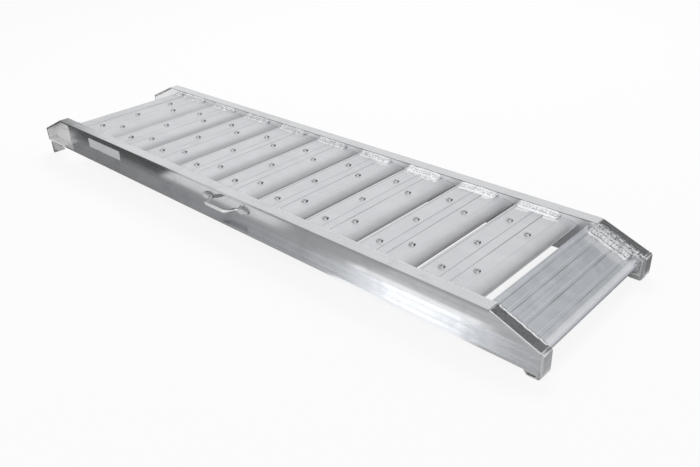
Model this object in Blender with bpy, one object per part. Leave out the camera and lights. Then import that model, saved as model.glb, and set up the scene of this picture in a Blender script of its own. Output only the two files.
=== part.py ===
"""An aluminum loading ramp, welded from channel rails and ribbed treads.

X runs along the ramp, from the head end with its two hooks to the toe end with its sloped tread and
foot pads. Y runs across it, with the carrying handle on the -Y side. Z is up, from zero at the tips
of the hooks. Every size is in metres.
"""

import math

import bmesh
import bpy
from mathutils import Matrix, Vector

# The whole ramp
RAMP_LENGTH = 1.500
RAMP_WIDTH = 0.365

# The gap left between two pieces that touch on the real ramp
FIT_GAP = 0.0003
# How far a cutter reaches past the piece it cuts
CUT_MARGIN = 0.020
# Points this close become one when a mesh is made from a curve
WELD_DISTANCE = 0.000001

# Side rails: channels that open outward
RAIL_HEIGHT = 0.076
FLANGE_WIDTH = 0.024
FLANGE_THICKNESS = 0.005
WEB_THICKNESS = 0.004

# Strips and plates that close each rail where it slopes down to its ends
STRIP_THICKNESS = 0.005
END_PLATE_THICKNESS = 0.005
TOE_SLOPE_RUN = 0.0946
TOE_END_HEIGHT = 0.0385
HEAD_SLOPE_RUN = 0.0953
HEAD_END_HEIGHT = 0.034

# Treads: ribbed planks with a thin nose that curves down on the toe side
DECK_BELOW_RAIL_TOP = 0.0105
TREAD_WIDTH = 0.125
TREAD_GAP = 0.0095
TREAD_DEPTH = 0.028
SKIN_THICKNESS = 0.004
RIB_THICKNESS = 0.0035
TREAD_RIBS = (0.042, 0.063, 0.094)
NOSE_LENGTH = 0.030
NOSE_DROP = 0.0065
NOSE_LIP = 0.0012
NOSE_STEPS = 8
EDGE_GROOVE = 0.0055
GROOVE_WIDTH = 0.0014
GROOVE_DEPTH = 0.0005

# Raised pips: punched holes, each with a burred collar
PIP_BASE_DIAMETER = 0.0135
PIP_TOP_DIAMETER = 0.0100
PIP_HOLE_DIAMETER = 0.0080
PIP_HEIGHT = 0.0030
PIP_SPACING = 0.0514
PIP_CENTRE_ACROSS = -0.014
PIP_SIDES = 16
# Each row: its distance from the tread's head edge, and where its pips stand, counted in spacings
PIP_ROWS = ((0.026, (-2.0, 0.0, 2.0)), (0.078, (-1.5, 1.5)))

# Toe tread: parallel to the rails' toe slope and sunk below it
TOE_TREAD_SINK = 0.0165
TOE_TREAD_WIDTH = 0.110
TOE_TREAD_DEPTH = 0.022
TOE_TREAD_RIBS = (0.026, 0.055, 0.082)
TOE_NOSE_LENGTH = 0.022
TOE_NOSE_DROP = 0.008
DECK_TO_TOE_GAP = 0.0178

# Head strip: a rounded angle that fills what the treads leave at the head end
HEAD_STRIP_FROM_END = 0.1205
HEAD_STRIP_GAP = 0.0028
HEAD_STRIP_RADIUS = 0.012
NARROWEST_HEAD_STRIP = 0.030

# Hooks: bent plates under the head end of each rail
HOOK_DROP = 0.0375
HOOK_THICKNESS = 0.0065
HOOK_WIDTH = 0.030
HOOK_LEG_LENGTH = 0.059
HOOK_BEND_RADIUS = 0.003
HOOK_FROM_EDGE = 0.0035

# Foot pads under the toe end of each rail
PAD_LENGTH = 0.029
PAD_THICKNESS = 0.0077
PAD_FROM_TOE = 0.0025
PAD_HEEL_SLANT = 0.006
PAD_TOE_RADIUS = 0.005

# Carrying handle: one bent rod, welded to the near rail's web by its two feet
ROD_DIAMETER = 0.008
HANDLE_FROM_HEAD = 0.754
HANDLE_GRIP_LENGTH = 0.065
HANDLE_LEG_SPREAD = 0.009
HANDLE_FOOT_LENGTH = 0.026
HANDLE_REACH = 0.0275
HANDLE_BEND_RADIUS = 0.009
HANDLE_BEND_STEPS = 5

# Bare plate for a label, on the near rail's web
LABEL_LENGTH = 0.147
LABEL_HEIGHT = 0.024
LABEL_THICKNESS = 0.001
LABEL_FROM_HEAD = 0.195
LABEL_BELOW_MIDDLE = 0.004
LABEL_CORNER_RADIUS = 0.002

# Weld beads, in the corner between a tread's end and the web
BEAD_ON_TREAD = 0.015
BEAD_ON_WEB = 0.0088
BEAD_BULGE = 0.0012
BEAD_STEPS = 5
BEAD_FROM_HEAD_EDGE = 0.004
BEAD_LENGTH = 0.086
TOE_BEAD_ON_TREAD = 0.019
TOE_BEAD_ON_WEB = 0.0105
TOE_BEAD_MARGIN = 0.006
HEAD_BEAD_MARGIN = 0.007
# The welds that hold the handle's feet: half domes over the ends of the rod
FOOT_WELD_LENGTH = 0.036
FOOT_WELD_HEIGHT = 0.018
FOOT_WELD_BULGE = 0.012
FOOT_WELD_OVERRUN = 0.0085

# Places worked out from the sizes above
HALF_LENGTH = RAMP_LENGTH / 2
HALF_WIDTH = RAMP_WIDTH / 2
WEB_INNER = HALF_WIDTH - FLANGE_WIDTH
WEB_OUTER = WEB_INNER + WEB_THICKNESS
TREAD_LENGTH = 2 * (WEB_INNER - FIT_GAP)
DECK_HEIGHT = RAIL_HEIGHT - DECK_BELOW_RAIL_TOP
# The handle lies along the middle of the web, and the label place a little below it
HANDLE_HEIGHT = RAIL_HEIGHT / 2
LABEL_BOTTOM = HANDLE_HEIGHT - LABEL_BELOW_MIDDLE - LABEL_HEIGHT / 2
ROD_RADIUS = ROD_DIAMETER / 2
FOOT_ACROSS = WEB_OUTER + FIT_GAP + ROD_RADIUS
GRIP_ACROSS = WEB_OUTER + HANDLE_REACH
# The handle stands out past one rail, so the ramp's centreline lies half of that to the other side
CENTRELINE = (GRIP_ACROSS + ROD_RADIUS - HALF_WIDTH) / 2

NEAR = -1
FAR = 1
SIDES = (("near", NEAR), ("far", FAR))

# How an outline's own plane stands in the ramp: seen from the side, or from the end
SIDE_ON = Matrix.Rotation(math.pi / 2, 4, "X")
END_ON = Matrix.Rotation(math.pi / 2, 4, "Z") @ SIDE_ON


class RailEnd:
    """The sloped end of a rail, seen from the side. way is 1 at the toe and -1 at the head."""

    def __init__(self, name, way, run, end_height):
        self.name = name
        self.way = way
        self.slope = math.atan((RAIL_HEIGHT - end_height) / run)
        self.kink = HALF_LENGTH - run
        self.plate_face = HALF_LENGTH - END_PLATE_THICKNESS

    def height(self, along, below=0.0):
        """Height of the sloped face, or of the plane this far below it."""
        return RAIL_HEIGHT - (along - self.kink) * math.tan(self.slope) - below / math.cos(self.slope)

    def along(self, height, below=0.0):
        """Where the sloped face, or the plane this far below it, comes down to a height."""
        fall = RAIL_HEIGHT - height - below / math.cos(self.slope)
        return self.kink + fall / math.tan(self.slope)

    def mitre(self, height):
        """Where the mitre between the top flange and the sloped strip stands at a height."""
        return self.kink + (height - RAIL_HEIGHT) * math.tan(self.slope / 2)

    def turned(self, points):
        return [(self.way * along, height) for along, height in points]

    def strip_outline(self):
        end = self.plate_face - FIT_GAP
        inner = RAIL_HEIGHT - STRIP_THICKNESS
        return self.turned(
            [
                (self.kink, RAIL_HEIGHT),
                (end, self.height(end)),
                (end, self.height(end, STRIP_THICKNESS)),
                (self.mitre(inner), inner),
            ]
        )

    def end_plate_outline(self):
        return self.turned(
            [
                (self.plate_face, 0.0),
                (HALF_LENGTH, 0.0),
                (HALF_LENGTH, self.height(HALF_LENGTH)),
                (self.plate_face, self.height(self.plate_face)),
            ]
        )

    def cutter_outline(self):
        """All that the rail loses: what lies above the strip's underside or past the end plate."""
        end = self.plate_face - FIT_GAP
        below = STRIP_THICKNESS + FIT_GAP
        top = RAIL_HEIGHT + CUT_MARGIN
        inner_corner = self.mitre(RAIL_HEIGHT - below) - FIT_GAP
        return self.turned(
            [
                (self.mitre(top) - FIT_GAP, top),
                (inner_corner, self.height(inner_corner, below)),
                (end, self.height(end, below)),
                (end, -CUT_MARGIN),
                (HALF_LENGTH + CUT_MARGIN, -CUT_MARGIN),
                (HALF_LENGTH + CUT_MARGIN, top),
            ]
        )


TOE = RailEnd("toe", 1, TOE_SLOPE_RUN, TOE_END_HEIGHT)
HEAD = RailEnd("head", -1, HEAD_SLOPE_RUN, HEAD_END_HEIGHT)

# The toe tread starts where its sunk plane meets the deck. The treads run back from there at a fixed
# pitch, as many as fit, and the head strip takes up the rest.
TOE_TREAD_START = TOE.along(DECK_HEIGHT, TOE_TREAD_SINK)
DECK_END = TOE_TREAD_START - DECK_TO_TOE_GAP
HEAD_STRIP_START = HEAD_STRIP_FROM_END - HALF_LENGTH
TREAD_PITCH = TREAD_WIDTH + TREAD_GAP
TREAD_ROOM = DECK_END - HEAD_STRIP_START - HEAD_STRIP_GAP - NARROWEST_HEAD_STRIP
TREAD_COUNT = math.floor((TREAD_ROOM + TREAD_GAP) / TREAD_PITCH)
DECK_START = DECK_END + TREAD_GAP - TREAD_COUNT * TREAD_PITCH
HEAD_STRIP_WIDTH = DECK_START - HEAD_STRIP_GAP - HEAD_STRIP_START


def clear_objects():
    for old in list(bpy.data.objects):
        bpy.data.objects.remove(old, do_unlink=True)


def new_collection(name):
    collection = bpy.data.collections.new(name)
    bpy.context.scene.collection.children.link(collection)
    return collection


def new_material(name, colour, roughness, metallic):
    material = bpy.data.materials.new(name)
    material.use_nodes = True
    shader = material.node_tree.nodes["Principled BSDF"]
    shader.inputs["Base Color"].default_value = (*colour, 1.0)
    shader.inputs["Roughness"].default_value = roughness
    shader.inputs["Metallic"].default_value = metallic
    return material


def arc(centre, radius, start, end, steps=4):
    """Points round a corner, from one angle to another, in degrees."""
    across, up = centre
    turns = [math.radians(start + (end - start) * step / steps) for step in range(steps + 1)]
    return [(across + radius * math.cos(turn), up + radius * math.sin(turn)) for turn in turns]


def mesh_of(holder, name):
    """The mesh of an object as its modifiers leave it, closed where its ends are open."""
    depsgraph = bpy.context.evaluated_depsgraph_get()
    mesh = bpy.data.meshes.new_from_object(holder.evaluated_get(depsgraph))
    mesh.name = name
    shape = bmesh.new()
    shape.from_mesh(mesh)
    bmesh.ops.remove_doubles(shape, verts=shape.verts, dist=WELD_DISTANCE)
    bmesh.ops.holes_fill(shape, edges=shape.edges, sides=0)
    bmesh.ops.recalc_face_normals(shape, faces=shape.faces)
    shape.to_mesh(mesh)
    shape.free()
    return mesh


def mesh_of_curve(curve):
    """The closed mesh of a curve, which is then removed."""
    holder = bpy.data.objects.new(curve.name, curve)
    bpy.context.scene.collection.objects.link(holder)
    mesh = mesh_of(holder, curve.name)
    bpy.data.objects.remove(holder, do_unlink=True)
    bpy.data.curves.remove(curve)
    return mesh


def extruded_mesh(name, outline, thickness, plane=SIDE_ON):
    """A closed outline made solid, with half the thickness to each side of its plane.

    The curve makes the walls, and each end is filled afterwards as one flat face, because a curve's
    own fill leaves slivers where a comb of ribs has many points in line.
    """
    curve = bpy.data.curves.new(name, "CURVE")
    curve.dimensions = "2D"
    curve.fill_mode = "NONE"
    curve.extrude = thickness / 2
    spline = curve.splines.new("POLY")
    spline.points.add(len(outline) - 1)
    for point, (across, up) in zip(spline.points, outline):
        point.co = (across, up, 0.0, 1.0)
    spline.use_cyclic_u = True
    mesh = mesh_of_curve(curve)
    mesh.transform(plane)
    return mesh


def add_piece(name, data, material, location=(0.0, 0.0, 0.0), slope=0.0):
    """Places a piece of the ramp by its location and, for what follows a slope, a turn about Y."""
    if material.name not in data.materials:
        data.materials.append(material)
    piece = bpy.data.objects.new(name, data)
    parts.objects.link(piece)
    piece.parent = ramp_frame
    piece.location = location
    piece.rotation_euler = (0.0, slope, 0.0)
    return piece


def add_cutter(name, mesh, location=(0.0, 0.0, 0.0), parent=None):
    cutter = bpy.data.objects.new(name, mesh)
    cutters.objects.link(cutter)
    cutter.parent = parent
    cutter.location = location
    cutter.hide_render = True
    cutter.display_type = "WIRE"
    return cutter


def combine(piece, other, operation):
    modifier = piece.modifiers.new(other.name, "BOOLEAN")
    modifier.operation = operation
    modifier.solver = "EXACT"
    modifier.object = other


def channel_outline(side):
    """A rail's section: the web on its inner side, both flanges pointing outward."""
    outer = side * HALF_WIDTH
    web_outer = side * WEB_OUTER
    inner = side * WEB_INNER
    return [
        (inner, 0.0),
        (outer, 0.0),
        (outer, FLANGE_THICKNESS),
        (web_outer, FLANGE_THICKNESS),
        (web_outer, RAIL_HEIGHT - FLANGE_THICKNESS),
        (outer, RAIL_HEIGHT - FLANGE_THICKNESS),
        (outer, RAIL_HEIGHT),
        (inner, RAIL_HEIGHT),
    ]


def ribbed_outline(width, depth, ribs, nose_length, nose_drop):
    """A tread's section: grooves above its ribs, a curved nose, and the ribs below the skin."""
    outline = [(0.0, 0.0)]
    for groove in (EDGE_GROOVE, *ribs):
        outline += [
            (groove - GROOVE_WIDTH / 2, 0.0),
            (groove, -GROOVE_DEPTH),
            (groove + GROOVE_WIDTH / 2, 0.0),
        ]
    nose_start = width - nose_length
    for step in range(NOSE_STEPS + 1):
        turn = math.pi / 2 * step / NOSE_STEPS
        outline.append((nose_start + nose_length * math.sin(turn), -nose_drop * (1 - math.cos(turn))))
    outline.append((width - NOSE_LIP, -nose_drop - NOSE_LIP))
    for rib in reversed(ribs):
        front = rib + RIB_THICKNESS / 2
        back = rib - RIB_THICKNESS / 2
        outline += [(front, -SKIN_THICKNESS), (front, -depth), (back, -depth), (back, -SKIN_THICKNESS)]
    outline += [(RIB_THICKNESS, -SKIN_THICKNESS), (RIB_THICKNESS, -depth), (0.0, -depth)]
    return outline


def pip_mesh(name, base_diameter, top_diameter, bottom, top):
    """One cone or cylinder for each pip of a tread, between two heights from the tread's face."""
    shape = bmesh.new()
    for from_edge, spacings in PIP_ROWS:
        for spacing in spacings:
            across = PIP_CENTRE_ACROSS + spacing * PIP_SPACING
            bmesh.ops.create_cone(
                shape,
                cap_ends=True,
                segments=PIP_SIDES,
                radius1=base_diameter / 2,
                radius2=top_diameter / 2,
                depth=top - bottom,
                matrix=Matrix.Translation((from_edge, across, (top + bottom) / 2)),
            )
    mesh = bpy.data.meshes.new(name)
    shape.to_mesh(mesh)
    shape.free()
    return mesh


def tread_mesh():
    """The mesh that all treads share: its head edge is at zero and its face at height zero."""
    outline = ribbed_outline(TREAD_WIDTH, TREAD_DEPTH, TREAD_RIBS, NOSE_LENGTH, NOSE_DROP)
    plank = add_cutter("plain_plank", extruded_mesh("plain_plank", outline, TREAD_LENGTH))
    # The collars start inside the skin, so that they join it
    inside = SKIN_THICKNESS / 2
    flare = (PIP_BASE_DIAMETER - PIP_TOP_DIAMETER) / PIP_HEIGHT
    foot_diameter = PIP_BASE_DIAMETER + flare * inside
    collars = pip_mesh("pip_collars", foot_diameter, PIP_TOP_DIAMETER, -inside, PIP_HEIGHT)
    holes = pip_mesh(
        "pip_holes",
        PIP_HOLE_DIAMETER,
        PIP_HOLE_DIAMETER,
        -SKIN_THICKNESS - CUT_MARGIN / 2,
        PIP_HEIGHT + CUT_MARGIN / 2,
    )
    combine(plank, add_cutter("pip_collars", collars), "UNION")
    combine(plank, add_cutter("pip_holes", holes), "DIFFERENCE")
    return mesh_of(plank, "tread")


def bead_outline(on_tread, on_web, side):
    """A weld bead's section. Its corner is at zero, with the web on this side of it."""
    diagonal = Vector((on_web, on_tread)).normalized()
    outline = [(0.0, 0.0)]
    for step in range(BEAD_STEPS + 1):
        share = step / BEAD_STEPS
        bulge = BEAD_BULGE * math.sin(math.pi * share)
        across = on_tread * (1 - share) + diagonal.x * bulge
        up = on_web * share + diagonal.y * bulge
        outline.append((-side * across, up))
    return outline


def head_strip_outline():
    radius = HEAD_STRIP_RADIUS
    bend = (radius, -radius)
    return [
        (0.0, -TREAD_DEPTH),
        *arc(bend, radius, 180, 90),
        (HEAD_STRIP_WIDTH, 0.0),
        (HEAD_STRIP_WIDTH, -SKIN_THICKNESS),
        *arc(bend, radius - SKIN_THICKNESS, 90, 180),
        (SKIN_THICKNESS, -TREAD_DEPTH),
    ]


def hook_outline():
    """A hook from the side: its leg lies below the flange and its plate hangs down at the head end."""
    bend = (HOOK_THICKNESS + HOOK_BEND_RADIUS, -FIT_GAP - HOOK_THICKNESS - HOOK_BEND_RADIUS)
    return [
        (0.0, -HOOK_DROP),
        *arc(bend, HOOK_BEND_RADIUS + HOOK_THICKNESS, 180, 90),
        (HOOK_LEG_LENGTH, -FIT_GAP),
        (HOOK_LEG_LENGTH, -FIT_GAP - HOOK_THICKNESS),
        *arc(bend, HOOK_BEND_RADIUS, 90, 180),
        (HOOK_THICKNESS, -HOOK_DROP),
    ]


def pad_outline():
    """A foot pad from the side, back from its toe end at zero."""
    radius = PAD_TOE_RADIUS
    return [
        (0.0, -FIT_GAP),
        *arc((-radius, radius - PAD_THICKNESS), radius, 0, -90),
        (PAD_HEEL_SLANT - PAD_LENGTH, -PAD_THICKNESS),
        (-PAD_LENGTH, -FIT_GAP),
    ]


def label_outline():
    radius = LABEL_CORNER_RADIUS
    right = LABEL_LENGTH - radius
    top = LABEL_HEIGHT - radius
    return [
        *arc((radius, radius), radius, 180, 270),
        *arc((right, radius), radius, 270, 360),
        *arc((right, top), radius, 0, 90),
        *arc((radius, top), radius, 90, 180),
    ]


def bent_path(corners, radius, steps):
    """A path through corners, with each of them rounded to the bend radius."""
    path = [corners[0]]
    for before, corner, after in zip(corners, corners[1:], corners[2:]):
        back = (before - corner).normalized()
        on = (after - corner).normalized()
        half_angle = back.angle(on) / 2
        reach = radius / math.tan(half_angle)
        centre = corner + (back + on).normalized() * radius / math.sin(half_angle)
        first = corner + back * reach - centre
        last = corner + on * reach - centre
        for step in range(steps + 1):
            path.append(centre + first.lerp(last, step / steps).normalized() * radius)
    path.append(corners[-1])
    return path


def handle_curve(name, clearance=0.0):
    """The handle's rod, centred on zero along the ramp: foot, leg, grip, leg, foot."""
    grip_end = HANDLE_GRIP_LENGTH / 2
    leg_end = grip_end + HANDLE_LEG_SPREAD
    foot_end = leg_end + HANDLE_FOOT_LENGTH + clearance
    corners = [
        Vector((-foot_end, -FOOT_ACROSS, 0.0)),
        Vector((-leg_end, -FOOT_ACROSS, 0.0)),
        Vector((-grip_end, -GRIP_ACROSS, 0.0)),
        Vector((grip_end, -GRIP_ACROSS, 0.0)),
        Vector((leg_end, -FOOT_ACROSS, 0.0)),
        Vector((foot_end, -FOOT_ACROSS, 0.0)),
    ]
    path = bent_path(corners, HANDLE_BEND_RADIUS, HANDLE_BEND_STEPS)
    curve = bpy.data.curves.new(name, "CURVE")
    curve.dimensions = "3D"
    curve.bevel_depth = ROD_RADIUS + clearance
    curve.bevel_resolution = 4
    curve.use_fill_caps = True
    spline = curve.splines.new("POLY")
    spline.points.add(len(path) - 1)
    for point, place in zip(spline.points, path):
        point.co = (*place, 1.0)
    return curve


def foot_weld_mesh(name):
    """Half a dome, flat on the web at zero across and bulging to -Y."""
    shape = bmesh.new()
    bmesh.ops.create_uvsphere(shape, u_segments=20, v_segments=12, radius=1.0)
    bmesh.ops.scale(
        shape,
        vec=(FOOT_WELD_LENGTH / 2, FOOT_WELD_BULGE, FOOT_WELD_HEIGHT / 2),
        verts=shape.verts,
    )
    whole = [*shape.verts, *shape.edges, *shape.faces]
    cut = bmesh.ops.bisect_plane(
        shape,
        geom=whole,
        dist=WELD_DISTANCE,
        plane_co=(0.0, 0.0, 0.0),
        plane_no=(0.0, 1.0, 0.0),
        clear_outer=True,
    )
    rim = [part for part in cut["geom_cut"] if isinstance(part, bmesh.types.BMEdge)]
    bmesh.ops.contextual_create(shape, geom=rim)
    bmesh.ops.recalc_face_normals(shape, faces=shape.faces)
    mesh = bpy.data.meshes.new(name)
    shape.to_mesh(mesh)
    shape.free()
    return mesh


def shade_round(mesh):
    mesh.shade_smooth()
    mesh.set_sharp_from_angle(angle=math.radians(35))


def add_rail(side_name, side):
    """One rail: its channel, cut at both ends, and the strips and plates that close it."""
    rail_mesh = extruded_mesh(f"{side_name}_rail", channel_outline(side), RAMP_LENGTH, END_ON)
    rail = add_piece(f"{side_name}_rail", rail_mesh, mill_aluminium)
    middle = side * (HALF_WIDTH - FLANGE_WIDTH / 2)
    for end in (HEAD, TOE):
        cutter_name = f"{side_name}_{end.name}_cut"
        cutter_mesh = extruded_mesh(cutter_name, end.cutter_outline(), FLANGE_WIDTH + 2 * CUT_MARGIN)
        combine(rail, add_cutter(cutter_name, cutter_mesh, (0.0, middle, 0.0), ramp_frame), "DIFFERENCE")
        for kind, outline in (
            ("slope_strip", end.strip_outline()),
            ("end_plate", end.end_plate_outline()),
        ):
            name = f"{side_name}_{end.name}_{kind}"
            add_piece(name, extruded_mesh(name, outline, FLANGE_WIDTH), mill_aluminium, (0.0, middle, 0.0))


def add_hook_and_pad(side_name, side):
    hook_middle = side * (HALF_WIDTH - HOOK_FROM_EDGE - HOOK_WIDTH / 2)
    hook = extruded_mesh(f"{side_name}_hook", hook_outline(), HOOK_WIDTH)
    shade_round(hook)
    add_piece(f"{side_name}_hook", hook, mill_aluminium, (-HALF_LENGTH, hook_middle, 0.0))
    pad_middle = side * (HALF_WIDTH - FLANGE_WIDTH / 2)
    pad = extruded_mesh(f"{side_name}_foot_pad", pad_outline(), FLANGE_WIDTH)
    add_piece(f"{side_name}_foot_pad", pad, mill_aluminium, (HALF_LENGTH - PAD_FROM_TOE, pad_middle, 0.0))


def add_treads():
    mesh = tread_mesh()
    shade_round(mesh)
    for number in range(1, TREAD_COUNT + 1):
        start = DECK_START + (number - 1) * TREAD_PITCH
        add_piece(f"tread_{number}", mesh, tread_aluminium, (start, 0.0, DECK_HEIGHT))
        for side_name, side in SIDES:
            add_bead(
                f"{side_name}_weld_tread_{number}",
                side,
                (BEAD_ON_TREAD, BEAD_ON_WEB),
                (start + BEAD_FROM_HEAD_EDGE, DECK_HEIGHT),
                BEAD_LENGTH,
            )


def add_bead(name, side, legs, start, length, slope=0.0):
    """A weld bead between a tread's face and the web, from its start (along, height) down a slope."""
    on_tread, on_web = legs
    along, height = start
    run = Vector((math.cos(slope), 0.0, -math.sin(slope)))
    lift = Vector((math.sin(slope), 0.0, math.cos(slope))) * FIT_GAP
    middle = Vector((along, side * (WEB_INNER - FIT_GAP), height)) + run * length / 2 + lift
    mesh = extruded_mesh(name, bead_outline(on_tread, on_web, side), length, END_ON)
    add_piece(name, mesh, weld_metal, middle, slope)


def add_toe_tread():
    outline = ribbed_outline(
        TOE_TREAD_WIDTH, TOE_TREAD_DEPTH, TOE_TREAD_RIBS, TOE_NOSE_LENGTH, TOE_NOSE_DROP
    )
    mesh = extruded_mesh("toe_tread", outline, TREAD_LENGTH)
    shade_round(mesh)
    add_piece("toe_tread", mesh, toe_aluminium, (TOE_TREAD_START, 0.0, DECK_HEIGHT), TOE.slope)
    along = TOE_TREAD_START + TOE_BEAD_MARGIN * math.cos(TOE.slope)
    height = DECK_HEIGHT - TOE_BEAD_MARGIN * math.sin(TOE.slope)
    length = TOE_TREAD_WIDTH - TOE_NOSE_LENGTH / 2 - 2 * TOE_BEAD_MARGIN
    for side_name, side in SIDES:
        legs = (TOE_BEAD_ON_TREAD, TOE_BEAD_ON_WEB)
        add_bead(f"{side_name}_weld_toe_tread", side, legs, (along, height), length, TOE.slope)


def add_head_strip():
    mesh = extruded_mesh("head_strip", head_strip_outline(), TREAD_LENGTH)
    shade_round(mesh)
    add_piece("head_strip", mesh, tread_aluminium, (HEAD_STRIP_START, 0.0, DECK_HEIGHT))
    start = HEAD_STRIP_START + HEAD_STRIP_RADIUS
    length = HEAD_STRIP_WIDTH - HEAD_STRIP_RADIUS - HEAD_BEAD_MARGIN
    for side_name, side in SIDES:
        legs = (BEAD_ON_TREAD, BEAD_ON_WEB)
        add_bead(f"{side_name}_weld_head_strip", side, legs, (start, DECK_HEIGHT), length)


def add_handle():
    """The bent rod, and a half dome of weld over each of its feet, hollowed where the rod lies."""
    centre = (HANDLE_FROM_HEAD - HALF_LENGTH, 0.0, HANDLE_HEIGHT)
    add_piece("carrying_handle", handle_curve("carrying_handle"), rod_aluminium, centre)
    bore = add_cutter("rod_bore", mesh_of_curve(handle_curve("rod_bore", FIT_GAP)), centre, ramp_frame)
    foot_end = HANDLE_GRIP_LENGTH / 2 + HANDLE_LEG_SPREAD + HANDLE_FOOT_LENGTH
    weld_centre = foot_end + FOOT_WELD_OVERRUN - FOOT_WELD_LENGTH / 2
    for end in (HEAD, TOE):
        name = f"handle_weld_{end.name}_side"
        mesh = foot_weld_mesh(name)
        shade_round(mesh)
        along = centre[0] + end.way * weld_centre
        weld = add_piece(name, mesh, weld_metal, (along, -WEB_OUTER - FIT_GAP, HANDLE_HEIGHT))
        combine(weld, bore, "DIFFERENCE")


def add_label_plate():
    mesh = extruded_mesh("label_plate", label_outline(), LABEL_THICKNESS)
    across = -WEB_OUTER - FIT_GAP - LABEL_THICKNESS / 2
    add_piece("label_plate", mesh, label_metal, (LABEL_FROM_HEAD - HALF_LENGTH, across, LABEL_BOTTOM))


clear_objects()
parts = new_collection("aluminum_loading_ramp")
cutters = new_collection("cutters")

mill_aluminium = new_material("mill_aluminium", (0.76, 0.76, 0.75), 0.32, 1.0)
tread_aluminium = new_material("tread_aluminium", (0.78, 0.78, 0.77), 0.38, 1.0)
toe_aluminium = new_material("toe_aluminium", (0.66, 0.68, 0.71), 0.36, 1.0)
rod_aluminium = new_material("rod_aluminium", (0.80, 0.80, 0.79), 0.25, 1.0)
weld_metal = new_material("weld_metal", (0.70, 0.70, 0.69), 0.45, 1.0)
label_metal = new_material("label_metal", (0.82, 0.82, 0.82), 0.30, 1.0)

# Everything hangs on one empty: the ramp's centreline, at the height of the rails' undersides
ramp_frame = bpy.data.objects.new("ramp_frame", None)
bpy.context.scene.collection.objects.link(ramp_frame)
ramp_frame.location = (0.0, CENTRELINE, HOOK_DROP)

for rail_side_name, rail_side in SIDES:
    add_rail(rail_side_name, rail_side)
    add_hook_and_pad(rail_side_name, rail_side)
add_treads()
add_toe_tread()
add_head_strip()
add_handle()
add_label_plate()
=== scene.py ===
"""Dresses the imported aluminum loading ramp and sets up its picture.

X runs along the ramp, from its hooks at the head to its sloped toe. Y runs across it, with the carrying
handle on the -Y side, and Z is up. Every size is in metres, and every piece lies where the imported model
has it.
"""

import logging
import math
import random
from dataclasses import dataclass, field, replace
from enum import Enum
from functools import cache, cached_property

import bmesh
import bpy
from mathutils import Euler, Matrix, Vector, noise


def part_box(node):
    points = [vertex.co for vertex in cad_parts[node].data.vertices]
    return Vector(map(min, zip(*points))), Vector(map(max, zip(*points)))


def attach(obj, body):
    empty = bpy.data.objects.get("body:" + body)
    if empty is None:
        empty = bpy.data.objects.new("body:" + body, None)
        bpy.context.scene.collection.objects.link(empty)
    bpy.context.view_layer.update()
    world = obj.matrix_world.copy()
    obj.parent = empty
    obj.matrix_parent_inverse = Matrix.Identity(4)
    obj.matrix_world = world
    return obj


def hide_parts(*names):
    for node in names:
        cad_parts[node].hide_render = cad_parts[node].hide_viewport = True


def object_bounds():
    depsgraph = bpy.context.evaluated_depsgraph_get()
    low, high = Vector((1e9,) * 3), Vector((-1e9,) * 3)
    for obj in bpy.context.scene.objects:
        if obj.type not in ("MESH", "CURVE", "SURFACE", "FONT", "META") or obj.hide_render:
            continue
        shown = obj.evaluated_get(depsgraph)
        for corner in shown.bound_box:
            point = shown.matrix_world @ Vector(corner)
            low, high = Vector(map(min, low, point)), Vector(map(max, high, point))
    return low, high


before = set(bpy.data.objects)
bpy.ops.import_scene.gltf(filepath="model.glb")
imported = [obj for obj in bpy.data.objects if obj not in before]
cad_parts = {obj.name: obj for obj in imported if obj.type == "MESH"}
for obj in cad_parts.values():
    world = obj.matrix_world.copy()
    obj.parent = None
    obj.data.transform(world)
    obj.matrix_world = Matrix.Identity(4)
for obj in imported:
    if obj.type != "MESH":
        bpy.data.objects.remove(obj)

Colour = tuple[float, float, float]
Place = tuple[float, float, float]
Point = tuple[float, float]
Shape = bmesh.types.BMesh
Socket = bpy.types.NodeSocket
Material = bpy.types.Material

LOG = logging.getLogger("ramp")
CAD_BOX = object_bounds()
BODY = "root"
# The number that a piece's points carry where soot lies on a weld, or painted shade on a pip's flank.
SOOT_AND_SHADE = "soot"
# The span that most of a noise pattern's values lie in.
MIDDLE = (0.3, 0.7)
# Metal that was cleaned nearly white, and the same where the brush left it duller.
CLEANED = (0.97, 0.97, 0.97)
SCOURED = (0.82, 0.83, 0.84)
# The X between which the weld on the treads turns from grey at the head to bright, and the brushed patches
# beside it grow fuller.
HEAD_TO_TOE_SPAN = (0.02, 0.26)
# An edge is sharp from this angle on, and two facets of one bend meet at less.
SHARP_ANGLE = math.radians(32)
FLAT_ANGLE = math.radians(0.5)
# The width under which a face counts as a bend's facet.
FACET_WIDTH = 0.0035
# Points that lie nearer than this are one point.
WELDED = 0.00001


class Named(Enum):
    """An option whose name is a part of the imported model's names."""

    @property
    def label(self) -> str:
        """The option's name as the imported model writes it."""
        return self.name.lower()


class Side(Named):
    """The two long sides of the ramp, with the way each one's outside faces along Y."""

    NEAR = -1
    FAR = 1


class End(Named):
    """The two ends of the ramp, with the way each one faces along X."""

    HEAD = -1
    TOE = 1


@dataclass(frozen=True)
class RampFrame:
    """Where the ramp's main planes lie."""

    centreline: float = 0.00575
    rail_base: float = 0.0375
    rail_top: float = CAD_BOX[1][2]
    deck_height: float = 0.103
    web_inner: float = 0.1585
    web_outer: float = 0.1625
    toe_slope: float = math.atan((0.076 - 0.0385) / 0.0946)
    toe_kink: float = 0.6554
    fit_gap: float = 0.0003

    def across(self, side: Side, distance: float) -> float:
        """The Y of a plane that lies this far from the centreline, on one side."""
        return self.centreline + side.value * distance


RAMP = RampFrame()


def groove_outline(middle: float, width: float, depth: float) -> list[Point]:
    """The points of a thin groove in a section's top, as distances along and above it."""
    steps = ((-1.0, 0.0), (-0.45, 0.8), (0.0, 1.0), (0.45, 0.8), (1.0, 0.0))
    return [(middle + side * width / 2, -depth * deep) for side, deep in steps]


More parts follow.
